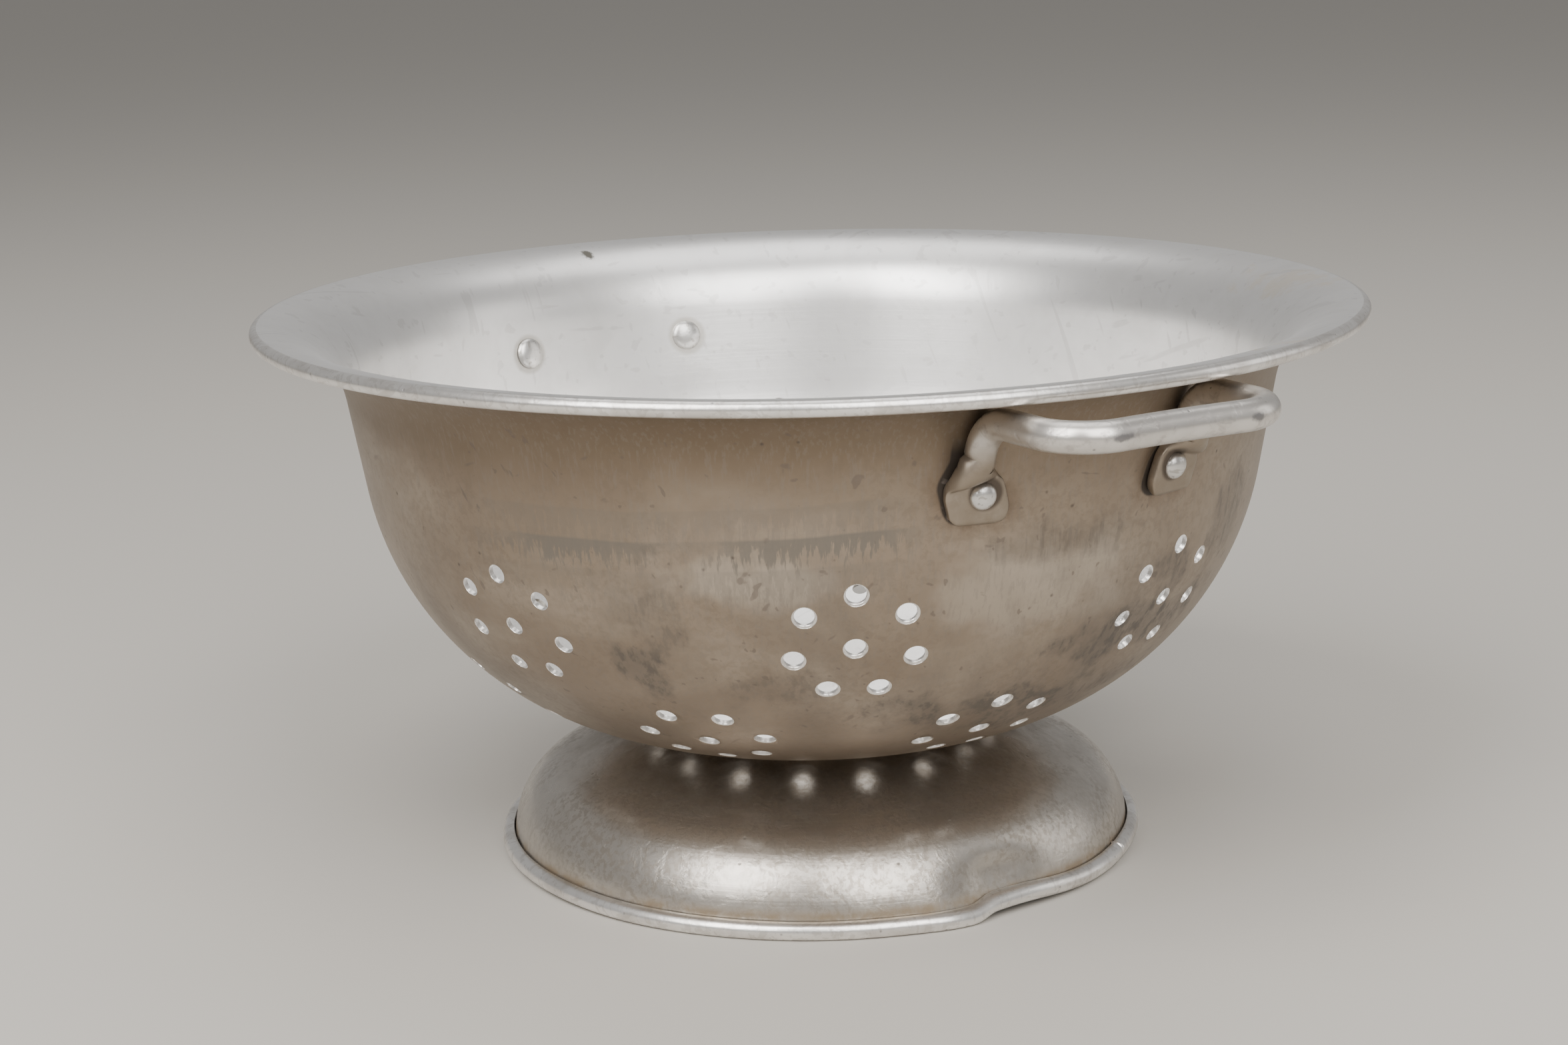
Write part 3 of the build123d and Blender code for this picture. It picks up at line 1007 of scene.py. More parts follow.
coloured = make.node("GeometryNodeSetMaterial", {"Geometry": real.outputs[0], "Material": get["Finish"]})
make.feed(result.inputs["Rivets"], coloured.outputs[0])


def place_rivets(name, shape, spots):
    """One mesh with a rivet at every (place, facing) spot."""
    mesh = bpy.data.meshes.new(name)
    mesh.from_pydata([place for place, _ in spots], [], [])
    layer = mesh.attributes.new("facing", "FLOAT_VECTOR", "POINT")
    layer.data.foreach_set("vector", [c for _, facing_way in spots for c in facing_way])
    piece = bpy.data.objects.new(name, mesh)
    bpy.context.scene.collection.objects.link(piece)
    values = {"Rivet": shape, "Finish": materials["rivet_metal"], "Size spread": 0.05, "Seed": 3}
    run_nodes(piece, rivet_tree, values)
    remove_tool(shape)
    shade_by_angle(piece, 50)
    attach(piece, "root")
    print(name, "rivets:", len(spots), "faces:", len(piece.data.polygons), "closed:", is_closed(piece.data))
    return piece


cone_wall = cone_radius(RIVET_HEIGHT)
handle_spots = []
for side_turn in (0.0, math.pi):
    for end in (-1, 1):
        turn = side_turn + end * math.asin(RIVET_SPREAD / cone_wall)
        place = Vector((cone_wall * math.cos(turn), cone_wall * math.sin(turn), RIVET_HEIGHT))
        way = Vector((math.cos(turn), math.sin(turn), -math.tan(CONE_ANGLE))).normalized()
        handle_spots.append((place, way))
SHANK = 4.8 * MM
OUTER_HEAD, INNER_HEAD = (6.6 * MM, 2.2 * MM), (9.0 * MM, 1.7 * MM)  # diameter and rise
HEAD_GAP = 0.1 * MM  # between the sheet and the inner head
head_base = -SHEET - HEAD_GAP
handle_rivet = rivet_shape("handle_rivet_tool", SHANK, OUTER_HEAD, INNER_HEAD, TAB_THICKNESS, head_base)
handle_rivets = place_rivets("handle_rivets", handle_rivet, handle_spots)
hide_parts(*(f"handle_rivet_{s}_{e}" for s in ("right", "left") for e in ("front", "back")))

FOOT_RIVET_RADIUS = 33.0 * MM
foot_spots = []
for k in range(4):
    turn = math.radians(45 + 90 * k)
    place = Vector((FOOT_RIVET_RADIUS * math.cos(turn), FOOT_RIVET_RADIUS * math.sin(turn), bowl_low.z))
    foot_spots.append((place, Vector((0, 0, 1))))
FOOT_SHANK, FOOT_HEAD = 4.0 * MM, (7.6 * MM, 1.5 * MM)
foot_rivet = rivet_shape("foot_rivet_tool", FOOT_SHANK, FOOT_HEAD, FOOT_HEAD, SHEET, -SHEET)
foot_rivets = place_rivets("foot_rivets", foot_rivet, foot_spots)
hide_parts(*(f"foot_rivet_{k}" for k in range(1, 5)))

# %% [markdown]
# ## Finishes
#
# All the metal here is the same soft aluminium, and what tells its parts apart is wear. The effects
# that come back on several parts are node groups: cloudy stains, upright rub marks, the fine rings
# of spinning, hair scratches, pits, a fringe of strokes, and a soft-edged spot. Each group gives only
# a mask. All of them read Object coordinates, in metres, so a pattern runs on across the edge of a
# piece.

# %% Helpers for shader groups
vector_socket = "NodeSocketVector"


def shader_group(name, inputs):
    """A shader group with a Vector input and more number inputs, and one Mask output."""
    sockets = [("Vector", vector_socket, None)]
    sockets += [(label, vector_socket if isinstance(v, tuple) else number, v) for label, v in inputs]
    return new_group(name, "ShaderNodeTree", sockets, [("Mask", number)])


def noise_of(make, vector, scale, detail, roughness=0.55, distortion=0.0):
    """The value of a noise texture."""
    made = make.node("ShaderNodeTexNoise", {"Vector": vector, "Scale": scale, "Detail": detail})
    make.feed(made.inputs["Roughness"], roughness)
    made.inputs["Distortion"].default_value = distortion
    return made.outputs["Fac"]


def fade(make, value, low, high):
    """A smooth 0 to 1 as value goes from low to high; high may be below low."""
    made = make.node("ShaderNodeMapRange", interpolation_type="SMOOTHSTEP")
    for socket, v in zip(("Value", "From Min", "From Max"), (value, low, high)):
        make.feed(made.inputs[socket], v)
    return made.outputs[0]


# %% Stains, rub marks and spinning rings
# Cloudy stains: broad noise with a soft threshold.
stain_tree, make, given, result = shader_group(
    "cloudy_stains", [("Scale", 30.0), ("Level", 0.5), ("Softness", 0.1), ("Stretch", (1, 1, 1))]
)
get = given.outputs
stretched = make.vector("MULTIPLY", get["Vector"], get["Stretch"])
cloud = noise_of(make, stretched, get["Scale"], 7.0, 0.6, 0.4)
low = make.math("SUBTRACT", get["Level"], get["Softness"])
high = make.math("ADD", get["Level"], get["Softness"])
make.feed(result.inputs["Mask"], fade(make, cloud, low, high))

# Rub marks: noise drawn out along the height, so it reads as short upright strokes.
rub_tree, make, given, result = shader_group(
    "upright_rubs", [("Fineness", 900.0), ("Length", 9.0), ("Level", 0.55)]
)
get = given.outputs
squeeze = make.combine(1.0, 1.0, make.math("DIVIDE", 1.0, get["Length"]))
strokes = noise_of(make, make.vector("MULTIPLY", get["Vector"], squeeze), get["Fineness"], 3.0, 0.6)
make.feed(result.inputs["Mask"], fade(make, strokes, get["Level"], make.math("ADD", get["Level"], 0.16)))

# Spinning rings: fine noise that depends on the radius and height alone, broken up by a little turn.
ring_tree, make, given, result = shader_group("spinning_rings", [("Fineness", 1600.0)])
get = given.outputs
parts = make.node("ShaderNodeSeparateXYZ", {"Vector": get["Vector"]}).outputs
flat_place = make.combine(parts["X"], parts["Y"], 0.0)
radius_value = make.node("ShaderNodeVectorMath", {0: flat_place}, operation="LENGTH").outputs["Value"]
ring_place = make.combine(radius_value, parts["Z"], make.math("MULTIPLY", parts["X"], 0.01))
make.feed(result.inputs["Mask"], noise_of(make, ring_place, get["Fineness"], 4.0, 0.65))

# %% Scratches, pits, the fringe and the spot
# Hair scratches: thin ridges of noise drawn out along three slanting directions.
scratch_tree, make, given, result = shader_group("hair_scratches", [("Fineness", 260.0), ("Level", 0.62)])
get = given.outputs
total = 0.0
for k, slant in enumerate(((0.6, 0.3, 0.2), (-0.5, 1.1, 0.9), (1.3, -0.4, 2.1))):
    turn_by = {"Vector": get["Vector"], "Rotation": slant}
    turned = make.node("ShaderNodeVectorRotate", turn_by, rotation_type="EULER_XYZ")
    drawn = make.vector("MULTIPLY", turned.outputs[0], (0.05, 1.0, 1.0))
    moved = make.vector("ADD", drawn, (3.1 * k, 1.7 * k, 0.0))
    hair = noise_of(make, moved, make.math("MULTIPLY", get["Fineness"], 1.0 + 0.3 * k), 2.0, 0.5)
    sharp = fade(make, hair, get["Level"], make.math("ADD", get["Level"], 0.05))
    total = make.math("MAXIMUM", sharp, total)
make.feed(result.inputs["Mask"], total)

# Pits: the middles of some of the cells of a cell texture.
pit_tree, make, given, result = shader_group("pits", [("Fineness", 300.0), ("Size", 0.16), ("Share", 0.3)])
get = given.outputs
cells = make.node("ShaderNodeTexVoronoi", {"Vector": get["Vector"], "Scale": get["Fineness"]})
near = fade(make, cells.outputs["Distance"], get["Size"], 0.0)
lot = make.node("ShaderNodeSeparateColor", {"Color": cells.outputs["Color"]}).outputs[0]
make.feed(result.inputs["Mask"], make.math("MULTIPLY", near, make.math("LESS_THAN", lot, get["Share"])))

# A fringe: a level band with a crisp top and upright strokes of uneven length hanging from it.
fringe_tree, make, given, result = shader_group(
    "fringe", [("Top", 0.110), ("Lean", 0.0), ("Shortest", 0.002), ("Longest", 0.012), ("Fineness", 700.0)]
)
get = given.outputs
parts = make.node("ShaderNodeSeparateXYZ", {"Vector": get["Vector"]}).outputs
around = make.combine(parts["X"], parts["Y"], 0.0)
stroke = noise_of(make, around, get["Fineness"], 3.0, 0.7)
wave = noise_of(make, around, 22.0, 1.0)
level_top = make.math("MULTIPLY_ADD", parts["Y"], get["Lean"], get["Top"])
top = make.math("MULTIPLY_ADD", wave, 0.004, level_top)
length = make.math("MULTIPLY_ADD", fade(make, stroke, 0.35, 0.70), get["Longest"], get["Shortest"])
below = make.math("SUBTRACT", top, parts["Z"])
hanging = fade(make, below, length, make.math("MULTIPLY", length, 0.5))
make.feed(result.inputs["Mask"], make.math("MULTIPLY", hanging, fade(make, below, 0.0, 0.0009)))

# A spot: a soft ellipsoid round a place, its edge broken by noise.
spot_tree, make, given, result = shader_group(
    "spot",
    [("Centre", (0.0, 0.0, 0.0)), ("Size", (0.01, 0.01, 0.01)), ("Ragged", 0.5), ("Fineness", 200.0)],
)
get = given.outputs
away = make.vector("DIVIDE", make.vector("SUBTRACT", get["Vector"], get["Centre"]), get["Size"])
distance = make.node("ShaderNodeVectorMath", {0: away}, operation="LENGTH").outputs["Value"]
grit = make.math("SUBTRACT", noise_of(make, get["Vector"], get["Fineness"], 4.0), 0.5)
ragged = make.math("MULTIPLY", grit, get["Ragged"])
edge = make.math("ADD", distance, make.math("MULTIPLY", ragged, 3.0))
make.feed(result.inputs["Mask"], fade(make, edge, 1.0, 0.35))

# %% [markdown]
# The four tabs are mirror images of each other, so one more group folds the coordinates: with X and
# Y made positive, every tab lies in the same place. It gives how far a point is from the tab's edge
# and from the rivet's middle, in millimetres, for the grease round the tabs, the painted contact
# shadow right against them, and the dark rings round the rivets.

# %% Where the tabs and the rivets are
def hypotenuse(make, a, b):
    """The long side of a right-angled triangle."""
    squares = make.math("ADD", make.math("POWER", a, 2.0), make.math("POWER", b, 2.0))
    return make.math("SQRT", squares)


fold_tree, make, given, result = new_group(
    "round_the_tabs",
    "ShaderNodeTree",
    [("Vector", vector_socket, None)],
    [("From tab", number), ("From rivet", number)],
)
folded = make.node("ShaderNodeVectorMath", {0: given.outputs["Vector"]}, operation="ABSOLUTE").outputs[0]
in_mm = make.node("ShaderNodeVectorMath", {0: folded}, operation="SCALE")
in_mm.inputs["Scale"].default_value = 1 / MM
parts = make.node("ShaderNodeSeparateXYZ", {"Vector": in_mm.outputs[0]}).outputs
lean_share = fade(make, parts["Z"], TAB_BOTTOM / MM, KNUCKLE_START / MM)
tab_middle = make.math("MULTIPLY_ADD", lean_share, (LEG_SPREAD - RIVET_SPREAD) / MM, RIVET_SPREAD / MM)
narrow_share = fade(make, parts["Z"], TAB_NARROWS[0] / MM, TAB_NARROWS[1] / MM)
half_width = make.math("MULTIPLY_ADD", narrow_share, (ROD - TAB_WIDTH) / 2 / MM, TAB_WIDTH / 2 / MM)
off_middle = make.math("ABSOLUTE", make.math("SUBTRACT", parts["Y"], tab_middle))
core_width = make.math("SUBTRACT", half_width, TAB_CORNER / MM)
side_gap = make.math("MAXIMUM", make.math("SUBTRACT", off_middle, core_width), 0.0)
end_gap = make.math("MAXIMUM", make.math("SUBTRACT", (TAB_BOTTOM + TAB_CORNER) / MM, parts["Z"]), 0.0)
core_gap = hypotenuse(make, side_gap, end_gap)
tab_gap = make.math("MAXIMUM", make.math("SUBTRACT", core_gap, TAB_CORNER / MM), 0.0)
rivet_rise = make.math("SUBTRACT", parts["Z"], RIVET_HEIGHT / MM)
rivet_side = make.math("SUBTRACT", parts["Y"], RIVET_SPREAD / MM)
rivet_gap = hypotenuse(make, rivet_rise, rivet_side)
make.feed(result.inputs["From tab"], tab_gap)
make.feed(result.inputs["From rivet"], rivet_gap)
print("shared effects:", [g.name for g in bpy.data.node_groups if g.bl_idname == "ShaderNodeTree"])


# %% A helper that layers a finish
class Finish:
    """A metal finish: a base colour, and layers that each mix in a colour and shift the gloss."""

    def __init__(self, material, colour, roughness, metallic):
        tree = material.node_tree
        tree.nodes.clear()
        self.make = TreeMaker(tree)
        self.place = self.make.node("ShaderNodeTexCoord").outputs["Object"]
        self.shader = self.make.node("ShaderNodeBsdfPrincipled")
        output = self.make.node("ShaderNodeOutputMaterial")
        tree.links.new(self.shader.outputs[0], output.inputs["Surface"])
        self.colour = (*colour, 1)
        self.roughness = roughness
        self.metallic = metallic
        self.height = None

    def mask(self, tree, **values):
        """The mask of a shared effect, with its own values."""
        group = self.make.node("ShaderNodeGroup", node_tree=tree)
        self.make.feed(group.inputs["Vector"], self.place)
        for key, value in values.items():
            self.make.feed(group.inputs[key.replace("_", " ")], value)
        return group.outputs[0]

    def times(self, *masks):
        """The product of masks and numbers."""
        product = masks[0]
        for m in masks[1:]:
            product = self.make.math("MULTIPLY", product, m)
        return product

    def layer(self, mask, colour, rougher=0.0, duller=0.0):
        """Mixes a colour in where the mask is, and makes the metal rougher and less metallic there."""
        mix = self.make.node("ShaderNodeMix", data_type="RGBA")
        self.make.feed(mix.inputs[0], mask)
        self.make.feed(mix.inputs[6], self.colour)
        mix.inputs[7].default_value = (*colour, 1)
        self.colour = mix.outputs[2]
        if rougher:
            self.roughness = self.make.math("MULTIPLY_ADD", mask, rougher, self.roughness)
        if duller:
            self.metallic = self.make.math("MULTIPLY_ADD", mask, -duller, self.metallic)

    def relief(self, mask, metres):
        """Adds a mask to the surface's fine relief."""
        step = self.make.math("MULTIPLY", mask, metres)
        self.height = step if self.height is None else self.make.math("ADD", self.height, step)

    def done(self):
        """Wires the layers into the shader."""
        self.make.feed(self.shader.inputs["Base Color"], self.colour)
        self.make.feed(self.shader.inputs["Roughness"], self.roughness)
        self.make.feed(self.shader.inputs["Metallic"], self.metallic)
        if self.height is not None:
            values = {"Height": self.height, "Strength": 1.0, "Distance": 1.0}
            bump = self.make.node("ShaderNodeBump", values)
            self.make.feed(self.shader.inputs["Normal"], bump.outputs[0])


# %% [markdown]
# ### Outside of the bowl
#
# The outside's warm grey-brown base is partly a film that never gets scrubbed and partly a painted
# reflection of a wooden table. It is darker and browner under the lip, which is painted shade, has a
# band of short upright rub marks below the handles, darker smears low on the body, one wide painted
# shade low in front, pale patches that are partly rubbed metal and partly painted highlight, grease
# round the tabs and a black line of painted contact shadow right against them.

# %% Outside finish
def cylinder_parts(finish):
    """Height and angle of the shaded point: height in metres, angle in degrees from +X."""
    parts = finish.make.node("ShaderNodeSeparateXYZ", {"Vector": finish.place}).outputs
    angle = finish.make.math("ARCTAN2", parts["Y"], parts["X"])
    return parts["Z"], finish.make.math("MULTIPLY", angle, math.degrees(1))


def band(finish, value, low, high, soft):
    """1 between low and high, with soft edges."""
    rise = fade(finish.make, value, low - soft, low + soft)
    return finish.times(rise, fade(finish.make, value, high + soft, high - soft))


def tab_distances(finish):
    """Distances from the tab's edge and from the rivet, in millimetres."""
    group = finish.make.node("ShaderNodeGroup", node_tree=fold_tree)
    finish.make.feed(group.inputs["Vector"], finish.place)
    return group.outputs["From tab"], group.outputs["From rivet"]


# The taupe base stands partly for a dull film and partly for a painted reflection of a wooden table.
TAUPE = (0.335, 0.27, 0.208)
# The soot colour also darkens one painted shade low on the front of the body.
SOOT_AND_SHADE = (0.13, 0.115, 0.10)
RUB_GREY = (0.20, 0.18, 0.155)
outside = Finish(materials["bowl_outside"], TAUPE, 0.40, 0.90)
height_value, angle_value = cylinder_parts(outside)
cloud = outside.mask(stain_tree, Scale=13.0, Level=0.5, Softness=0.18, Stretch=(1, 1, 0.8))
outside.layer(outside.times(cloud, 0.55), (0.225, 0.175, 0.13), rougher=0.05)
pale = outside.mask(stain_tree, Scale=19.0, Level=0.55, Softness=0.14, Stretch=(1, 1, 1.5))
outside.layer(outside.times(pale, 0.5), (0.49, 0.42, 0.345), rougher=-0.05)
# Painted shade: the wall is darker and browner under the overhanging lip.
painted_shade_under_lip = fade(outside.make, height_value, 0.108, 0.134)
outside.layer(outside.times(painted_shade_under_lip, 0.78), (0.165, 0.122, 0.08), rougher=0.05)
mottle = outside.mask(stain_tree, Scale=150.0, Level=0.52, Softness=0.20)
outside.layer(outside.times(mottle, 0.16), (0.28, 0.23, 0.19), rougher=0.05)
speckle = outside.mask(stain_tree, Scale=520.0, Level=0.53, Softness=0.10)
speckled = outside.mask(stain_tree, Scale=30.0, Level=0.48, Softness=0.14)
outside.layer(outside.times(speckle, speckled, 0.32), (0.20, 0.16, 0.12), rougher=0.06)
# Two pale patches on the front of the body: partly rubbed metal, partly a painted highlight.
for centre, size in (
    ((0.118, -0.010, 0.090), (0.03, 0.034, 0.016)),
    ((0.087, -0.072, 0.097), (0.03, 0.03, 0.009)),
):
    rub_and_painted_highlight = outside.mask(spot_tree, Centre=centre, Size=size, Ragged=0.8, Fineness=45.0)
    outside.layer(outside.times(rub_and_painted_highlight, 0.5), (0.55, 0.485, 0.41), rougher=-0.04)
fine_rubs = outside.mask(rub_tree, Fineness=1100.0, Length=12.0, Level=0.50)
outside.layer(outside.times(fine_rubs, 0.30), (0.27, 0.24, 0.21), rougher=0.05)

# The fringe of rub marks below the handles, and a weaker one higher up
rub_side = band(outside, angle_value, -72, -21, 4)
rub_clouds = outside.mask(stain_tree, Scale=34.0, Level=0.38, Softness=0.14)
for top, longest, depth in ((0.1115, 0.010, 0.80), (0.1190, 0.020, 0.25), (0.1040, 0.018, 0.25)):
    rubs = outside.mask(fringe_tree, Top=top, Lean=0.06, Shortest=0.002, Longest=longest, Fineness=620.0)
    rubs = outside.times(rubs, rub_side, rub_clouds, depth)
    outside.layer(rubs, RUB_GREY, rougher=0.08, duller=0.1)
back_side = band(outside, angle_value, 95, 160, 6)
rubs = outside.mask(fringe_tree, Top=0.104, Shortest=0.002, Longest=0.014, Fineness=620.0)
rubs = outside.times(rubs, back_side, rub_clouds, 0.5)
outside.layer(rubs, RUB_GREY, rougher=0.08, duller=0.1)

# Smears: drawn-out clouds low on the body, and single dark places; the wide one low in front is painted
# shade
low_body = band(outside, height_value, 0.048, 0.098, 0.014)
smears = outside.mask(stain_tree, Scale=30.0, Level=0.58, Softness=0.10, Stretch=(1, 1, 0.4))
outside.layer(outside.times(low_body, smears, 0.38), (0.18, 0.155, 0.13), rougher=0.06, duller=0.1)
streaks = outside.mask(rub_tree, Fineness=420.0, Length=7.0, Level=0.46)
for centre, size, depth in (
    ((0.072, -0.088, 0.086), (0.010, 0.010, 0.018), 0.50),
    ((0.064, -0.087, 0.072), (0.008, 0.010, 0.014), 0.80),
    ((0.084, -0.081, 0.088), (0.004, 0.005, 0.010), 0.60),
    ((0.080, -0.092, 0.1055), (0.005, 0.006, 0.0028), 0.80),
    ((0.086, -0.063, 0.068), (0.014, 0.016, 0.010), 0.45),
    ((0.103, 0.030, 0.075), (0.014, 0.032, 0.010), 0.90),
    ((0.108, 0.040, 0.085), (0.012, 0.014, 0.011), 0.75),
    ((0.102, 0.058, 0.097), (0.012, 0.014, 0.016), 0.65),
    # painted shade: the wide dark crescent low on the front of the body
    ((0.090, 0.000, 0.059), (0.022, 0.046, 0.009), 0.80),
    ((0.118, -0.004, 0.104), (0.010, 0.024, 0.006), 0.55),
    ((-0.080, -0.070, 0.070), (0.018, 0.020, 0.018), 0.55),
    ((-0.030, 0.108, 0.078), (0.026, 0.014, 0.016), 0.55),
    ((-0.112, 0.030, 0.090), (0.012, 0.026, 0.012), 0.45),
):
    patch = outside.mask(spot_tree, Centre=centre, Size=size, Ragged=0.9, Fineness=90.0)
    torn = outside.make.math("MULTIPLY_ADD", streaks, 0.5, 0.5)
    outside.layer(outside.times(patch, torn, depth), SOOT_AND_SHADE, rougher=0.08, duller=0.1)

# Grease round the tabs, a black line of painted contact shadow right against them, then hair scratches and
# pits
tab_mm, _ = tab_distances(outside)
by_tab = fade(outside.make, height_value, 0.132, 0.127)
grease = outside.mask(stain_tree, Scale=150.0, Level=0.46, Softness=0.2)
near_tab = fade(outside.make, tab_mm, 6.0, 0.2)
outside.layer(outside.times(near_tab, grease, by_tab, 0.65), (0.17, 0.115, 0.07), rougher=0.1, duller=0.35)
# Painted contact shadow: a black line right against the tabs.
painted_contact_shadow = outside.times(fade(outside.make, tab_mm, 1.1, 0.4), by_tab, 0.92)
outside.layer(painted_contact_shadow, (0.025, 0.018, 0.013), rougher=0.2, duller=0.8)
hairs = outside.mask(scratch_tree, Fineness=240.0, Level=0.70)
outside.layer(outside.times(hairs, 0.55), (0.17, 0.14, 0.12), rougher=0.05)
pits_mask = outside.mask(pit_tree, Fineness=210.0, Size=0.15, Share=0.06)
outside.layer(outside.times(pits_mask, 0.8), (0.06, 0.045, 0.035), rougher=0.2, duller=0.5)
outside.relief(outside.mask(ring_tree, Fineness=900.0), 0.000014)
outside.relief(mottle, 0.000015)
outside.relief(pits_mask, -0.00006)
outside.relief(hairs, -0.00002)
outside.done()

# %% [markdown]
# ### Inside of the bowl, beads, foot, handles and rivets
#
# The inside is scoured bright, with a faint film and a few stains. The beads are rubbed brightest.
# The foot is cloudy, with a brown line where its skirt meets the bead, and painted shade at its top
# where it tucks under the bowl. The handles are smooth and bright where they are held, with a few
# dark worn places, and dark in a ring round each rivet.

# %% Inside finish
inside = Finish(materials["bowl_inside"], (0.90, 0.89, 0.875), 0.34, 0.95)
film = inside.mask(stain_tree, Scale=14.0, Level=0.5, Softness=0.2)
inside.layer(inside.times(film, 0.4), (0.76, 0.745, 0.725), rougher=0.07)
cloud = inside.mask(stain_tree, Scale=70.0, Level=0.55, Softness=0.15)
inside.layer(inside.times(cloud, 0.22), (0.60, 0.58, 0.55), rougher=0.05)
_, rivet_mm = tab_distances(inside)
rivet_ring = inside.times(band(inside, rivet_mm, 3.5, 5.6, 0.7), 0.5)
inside.layer(rivet_ring, (0.38, 0.34, 0.27), rougher=0.1, duller=0.2)
SPECK_PLACE, SPECK_SIZE = (-0.1329, 0.0023, 0.1431), (0.0034, 0.0030, 0.0030)
speck = inside.mask(spot_tree, Centre=SPECK_PLACE, Size=SPECK_SIZE, Ragged=0.5, Fineness=500.0)
inside.layer(inside.times(speck, 0.95), (0.05, 0.045, 0.03), rougher=0.2, duller=0.7)
for centre, size in (
    ((0.127, 0.048, 0.140), (0.012, 0.020, 0.008)),
    ((0.05, 0.128, 0.141), (0.03, 0.012, 0.006)),
):
    stain = inside.mask(spot_tree, Centre=centre, Size=size, Ragged=0.9, Fineness=160.0)
    inside.layer(inside.times(stain, 0.35), (0.58, 0.47, 0.30), rougher=0.08, duller=0.1)
hairs = inside.mask(scratch_tree, Fineness=200.0, Level=0.66)
inside.layer(inside.times(hairs, 0.3), (0.52, 0.50, 0.48), rougher=0.04)
inside.relief(inside.mask(ring_tree, Fineness=700.0), 0.000022)
inside.relief(cloud, 0.000025)
inside.done()

# %% Bead finish
bead = Finish(materials["worn_bead"], (0.90, 0.88, 0.85), 0.28, 0.97)
film = bead.mask(stain_tree, Scale=90.0, Level=0.52, Softness=0.15)
bead.layer(bead.times(film, 0.5), (0.52, 0.48, 0.44), rougher=0.10)
hairs = bead.mask(scratch_tree, Fineness=420.0, Level=0.60)
bead.layer(bead.times(hairs, 0.28), (0.40, 0.36, 0.32), rougher=0.08)
pits_mask = bead.mask(pit_tree, Fineness=420.0, Size=0.22, Share=0.18)
bead.layer(bead.times(pits_mask, 0.7), (0.12, 0.10, 0.09), rougher=0.1, duller=0.2)
bead.relief(bead.mask(stain_tree, Scale=220.0, Level=0.5, Softness=0.25), 0.00004)
bead.relief(pits_mask, -0.00008)
bead.done()

# %% Foot finishes
for label, base, dirt in (
    ("foot_outside", (0.95, 0.94, 0.92), 1.0),
    ("foot_inside", (0.55, 0.51, 0.46), 0.6),
):
    skin = Finish(materials[label], base, 0.27, 0.96)
    height_value, _ = cylinder_parts(skin)
    cloud = skin.mask(stain_tree, Scale=24.0, Level=0.53, Softness=0.09)
    skin.layer(skin.times(cloud, 0.6 * dirt), (0.48, 0.44, 0.39), rougher=0.10)
    cloud = skin.mask(stain_tree, Scale=58.0, Level=0.56, Softness=0.08, Stretch=(1, 1, 2))
    skin.layer(skin.times(cloud, 0.45 * dirt), (0.36, 0.33, 0.29), rougher=0.08)
    # Painted shade: the top of the foot is darker where it tucks under the bowl.
    painted_neck_shade = fade(skin.make, height_value, 0.0195, 0.029)
    neck_cloud = skin.mask(stain_tree, Scale=40.0, Level=0.44, Softness=0.14, Stretch=(1, 1, 2))
    skin.layer(skin.times(painted_neck_shade, neck_cloud, 0.8), (0.25, 0.21, 0.165), rougher=0.10, duller=0.1)
    grains = skin.mask(stain_tree, Scale=230.0, Level=0.53, Softness=0.12)
    skin.layer(skin.times(grains, 0.25), (0.46, 0.44, 0.41), rougher=0.07)
    speckle = skin.mask(stain_tree, Scale=620.0, Level=0.52, Softness=0.08)
    speckled = skin.mask(stain_tree, Scale=34.0, Level=0.49, Softness=0.10)
    skin.layer(skin.times(speckle, speckled, 0.6), (0.26, 0.22, 0.175), rougher=0.08, duller=0.1)
    fine_rubs = skin.mask(rub_tree, Fineness=700.0, Length=6.0, Level=0.50)
    skin.layer(skin.times(fine_rubs, 0.16), (0.40, 0.38, 0.35), rougher=0.05)
    low_skirt = fade(skin.make, height_value, 0.013, 0.006)
    skirt_dirt = skin.mask(stain_tree, Scale=50.0, Level=0.50, Softness=0.12, Stretch=(1, 1, 0.5))
    skin.layer(skin.times(low_skirt, skirt_dirt, 0.35), (0.46, 0.42, 0.35), rougher=0.08)
    crease = band(skin, height_value, 0.0038, 0.0064, 0.0012)
    rust = skin.mask(stain_tree, Scale=95.0, Level=0.42, Softness=0.16)
    skin.layer(skin.times(crease, rust, 0.85), (0.25, 0.185, 0.115), rougher=0.12, duller=0.4)
    pits_mask = skin.mask(pit_tree, Fineness=240.0, Size=0.16, Share=0.12)
    skin.layer(skin.times(pits_mask, 0.7), (0.10, 0.08, 0.06), rougher=0.2, duller=0.4)
    skin.relief(skin.mask(ring_tree, Fineness=900.0), 0.000030)
    skin.relief(grains, 0.00003)
    skin.relief(pits_mask, -0.00006)
    skin.done()

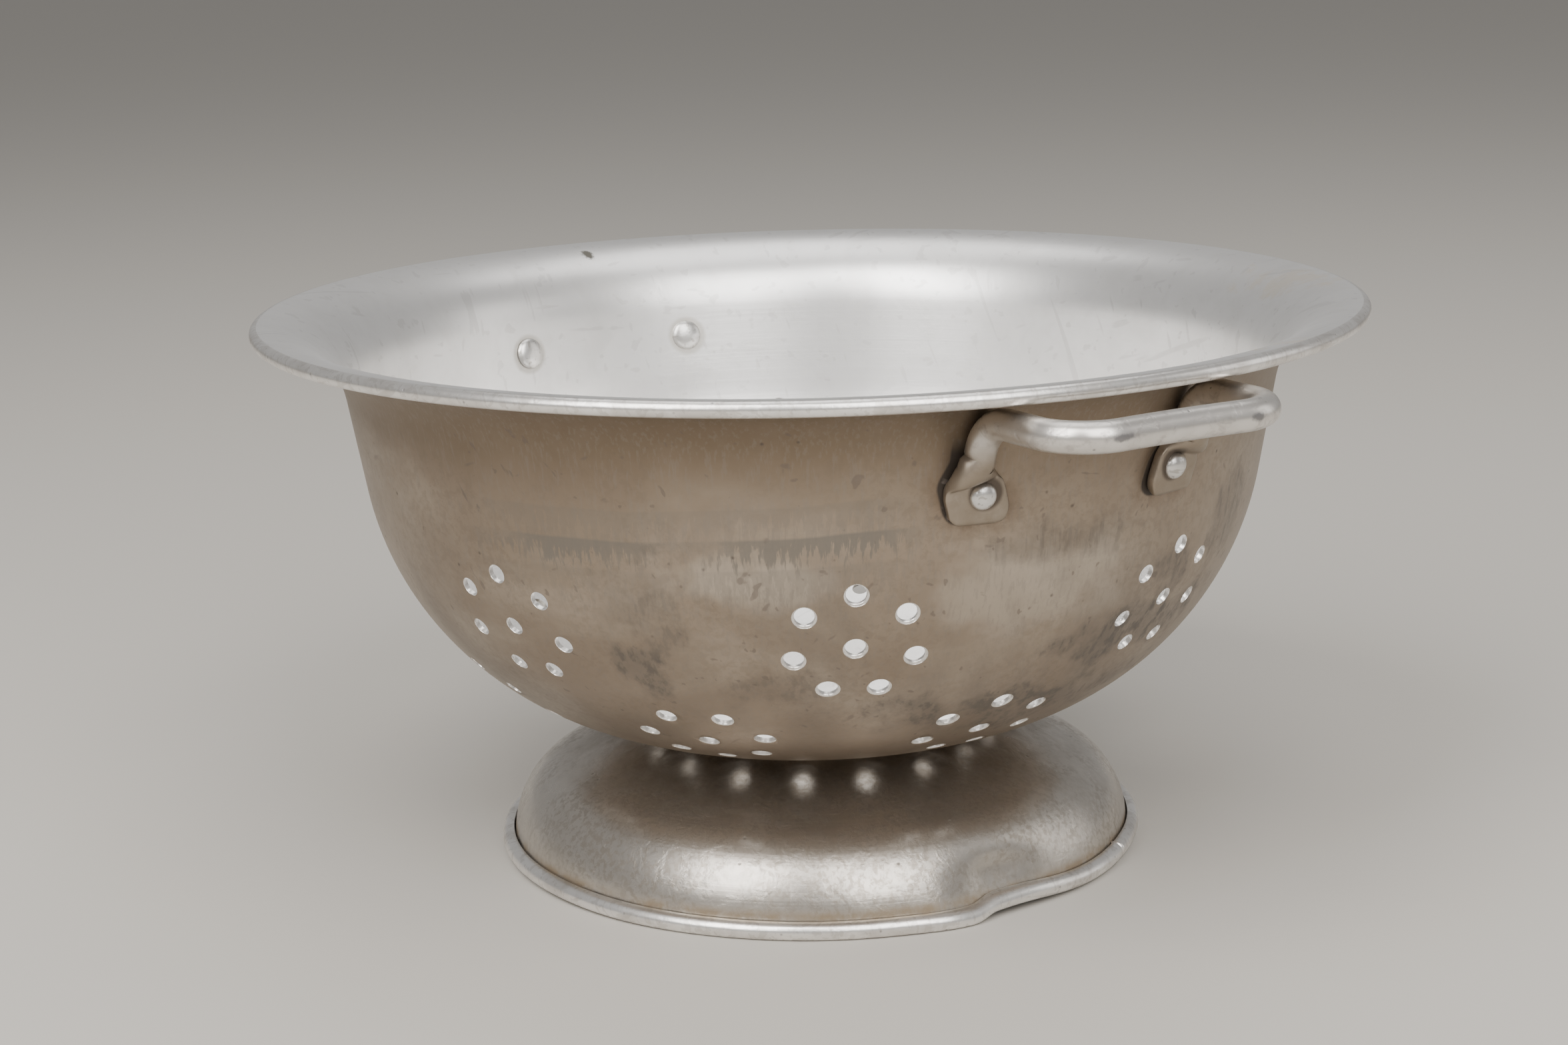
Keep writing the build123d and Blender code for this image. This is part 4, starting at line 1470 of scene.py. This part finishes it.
# %% Handle and rivet finishes
grip = Finish(materials["handle_metal"], (0.76, 0.73, 0.69), 0.30, 0.96)
film = grip.mask(stain_tree, Scale=60.0, Level=0.5, Softness=0.15)
grip.layer(grip.times(film, 0.45), (0.50, 0.46, 0.42), rougher=0.08)
grains = grip.mask(stain_tree, Scale=330.0, Level=0.58, Softness=0.10)
grip.layer(grip.times(grains, 0.4), (0.33, 0.30, 0.28), rougher=0.08)
for centre, size in (
    ((0.1601, -0.0185, 0.1362), (0.003, 0.0048, 0.0012)),
    ((0.1601, -0.0265, 0.1364), (0.003, 0.0012, 0.0008)),
    ((0.1600, 0.0185, 0.1362), (0.003, 0.0026, 0.0014)),
    ((0.1570, -0.0290, 0.1396), (0.003, 0.0020, 0.0012)),
    ((-0.1590, 0.010, 0.1370), (0.003, 0.0050, 0.0020)),
):
    worn_place = grip.mask(spot_tree, Centre=centre, Size=size, Ragged=0.35, Fineness=500.0)
    grip.layer(grip.times(worn_place, 0.85), (0.16, 0.155, 0.16), rougher=0.08, duller=0.2)
_, rivet_mm = tab_distances(grip)
height_value, _ = cylinder_parts(grip)
on_tab = fade(grip.make, height_value, 0.134, 0.124)
tab_film = grip.mask(stain_tree, Scale=140.0, Level=0.42, Softness=0.2)
grip.layer(grip.times(on_tab, 0.82), (0.27, 0.215, 0.155), rougher=0.10, duller=0.1)
grip.layer(grip.times(on_tab, tab_film, 0.4), (0.22, 0.17, 0.12), rougher=0.08, duller=0.15)
# A dark ring round each rivet head on the tab.
dark_rivet_ring = fade(grip.make, rivet_mm, 4.6, 3.4)
grip.layer(grip.times(on_tab, dark_rivet_ring, 0.85), (0.07, 0.05, 0.035), rougher=0.15, duller=0.5)
pits_mask = grip.mask(pit_tree, Fineness=330.0, Size=0.16, Share=0.12)
grip.layer(grip.times(pits_mask, 0.7), (0.12, 0.11, 0.10), rougher=0.1, duller=0.2)
grip.relief(grains, -0.00003)
grip.relief(pits_mask, -0.00008)
grip.done()

rivet_finish = Finish(materials["rivet_metal"], (0.76, 0.75, 0.73), 0.30, 0.96)
film = rivet_finish.mask(stain_tree, Scale=160.0, Level=0.52, Softness=0.15)
rivet_finish.layer(rivet_finish.times(film, 0.4), (0.50, 0.47, 0.43), rougher=0.08)
hairs = rivet_finish.mask(scratch_tree, Fineness=500.0, Level=0.62)
rivet_finish.layer(rivet_finish.times(hairs, 0.5), (0.30, 0.27, 0.24), rougher=0.08)
rivet_finish.relief(film, 0.00003)
rivet_finish.done()
print("finishes:", sorted(materials))
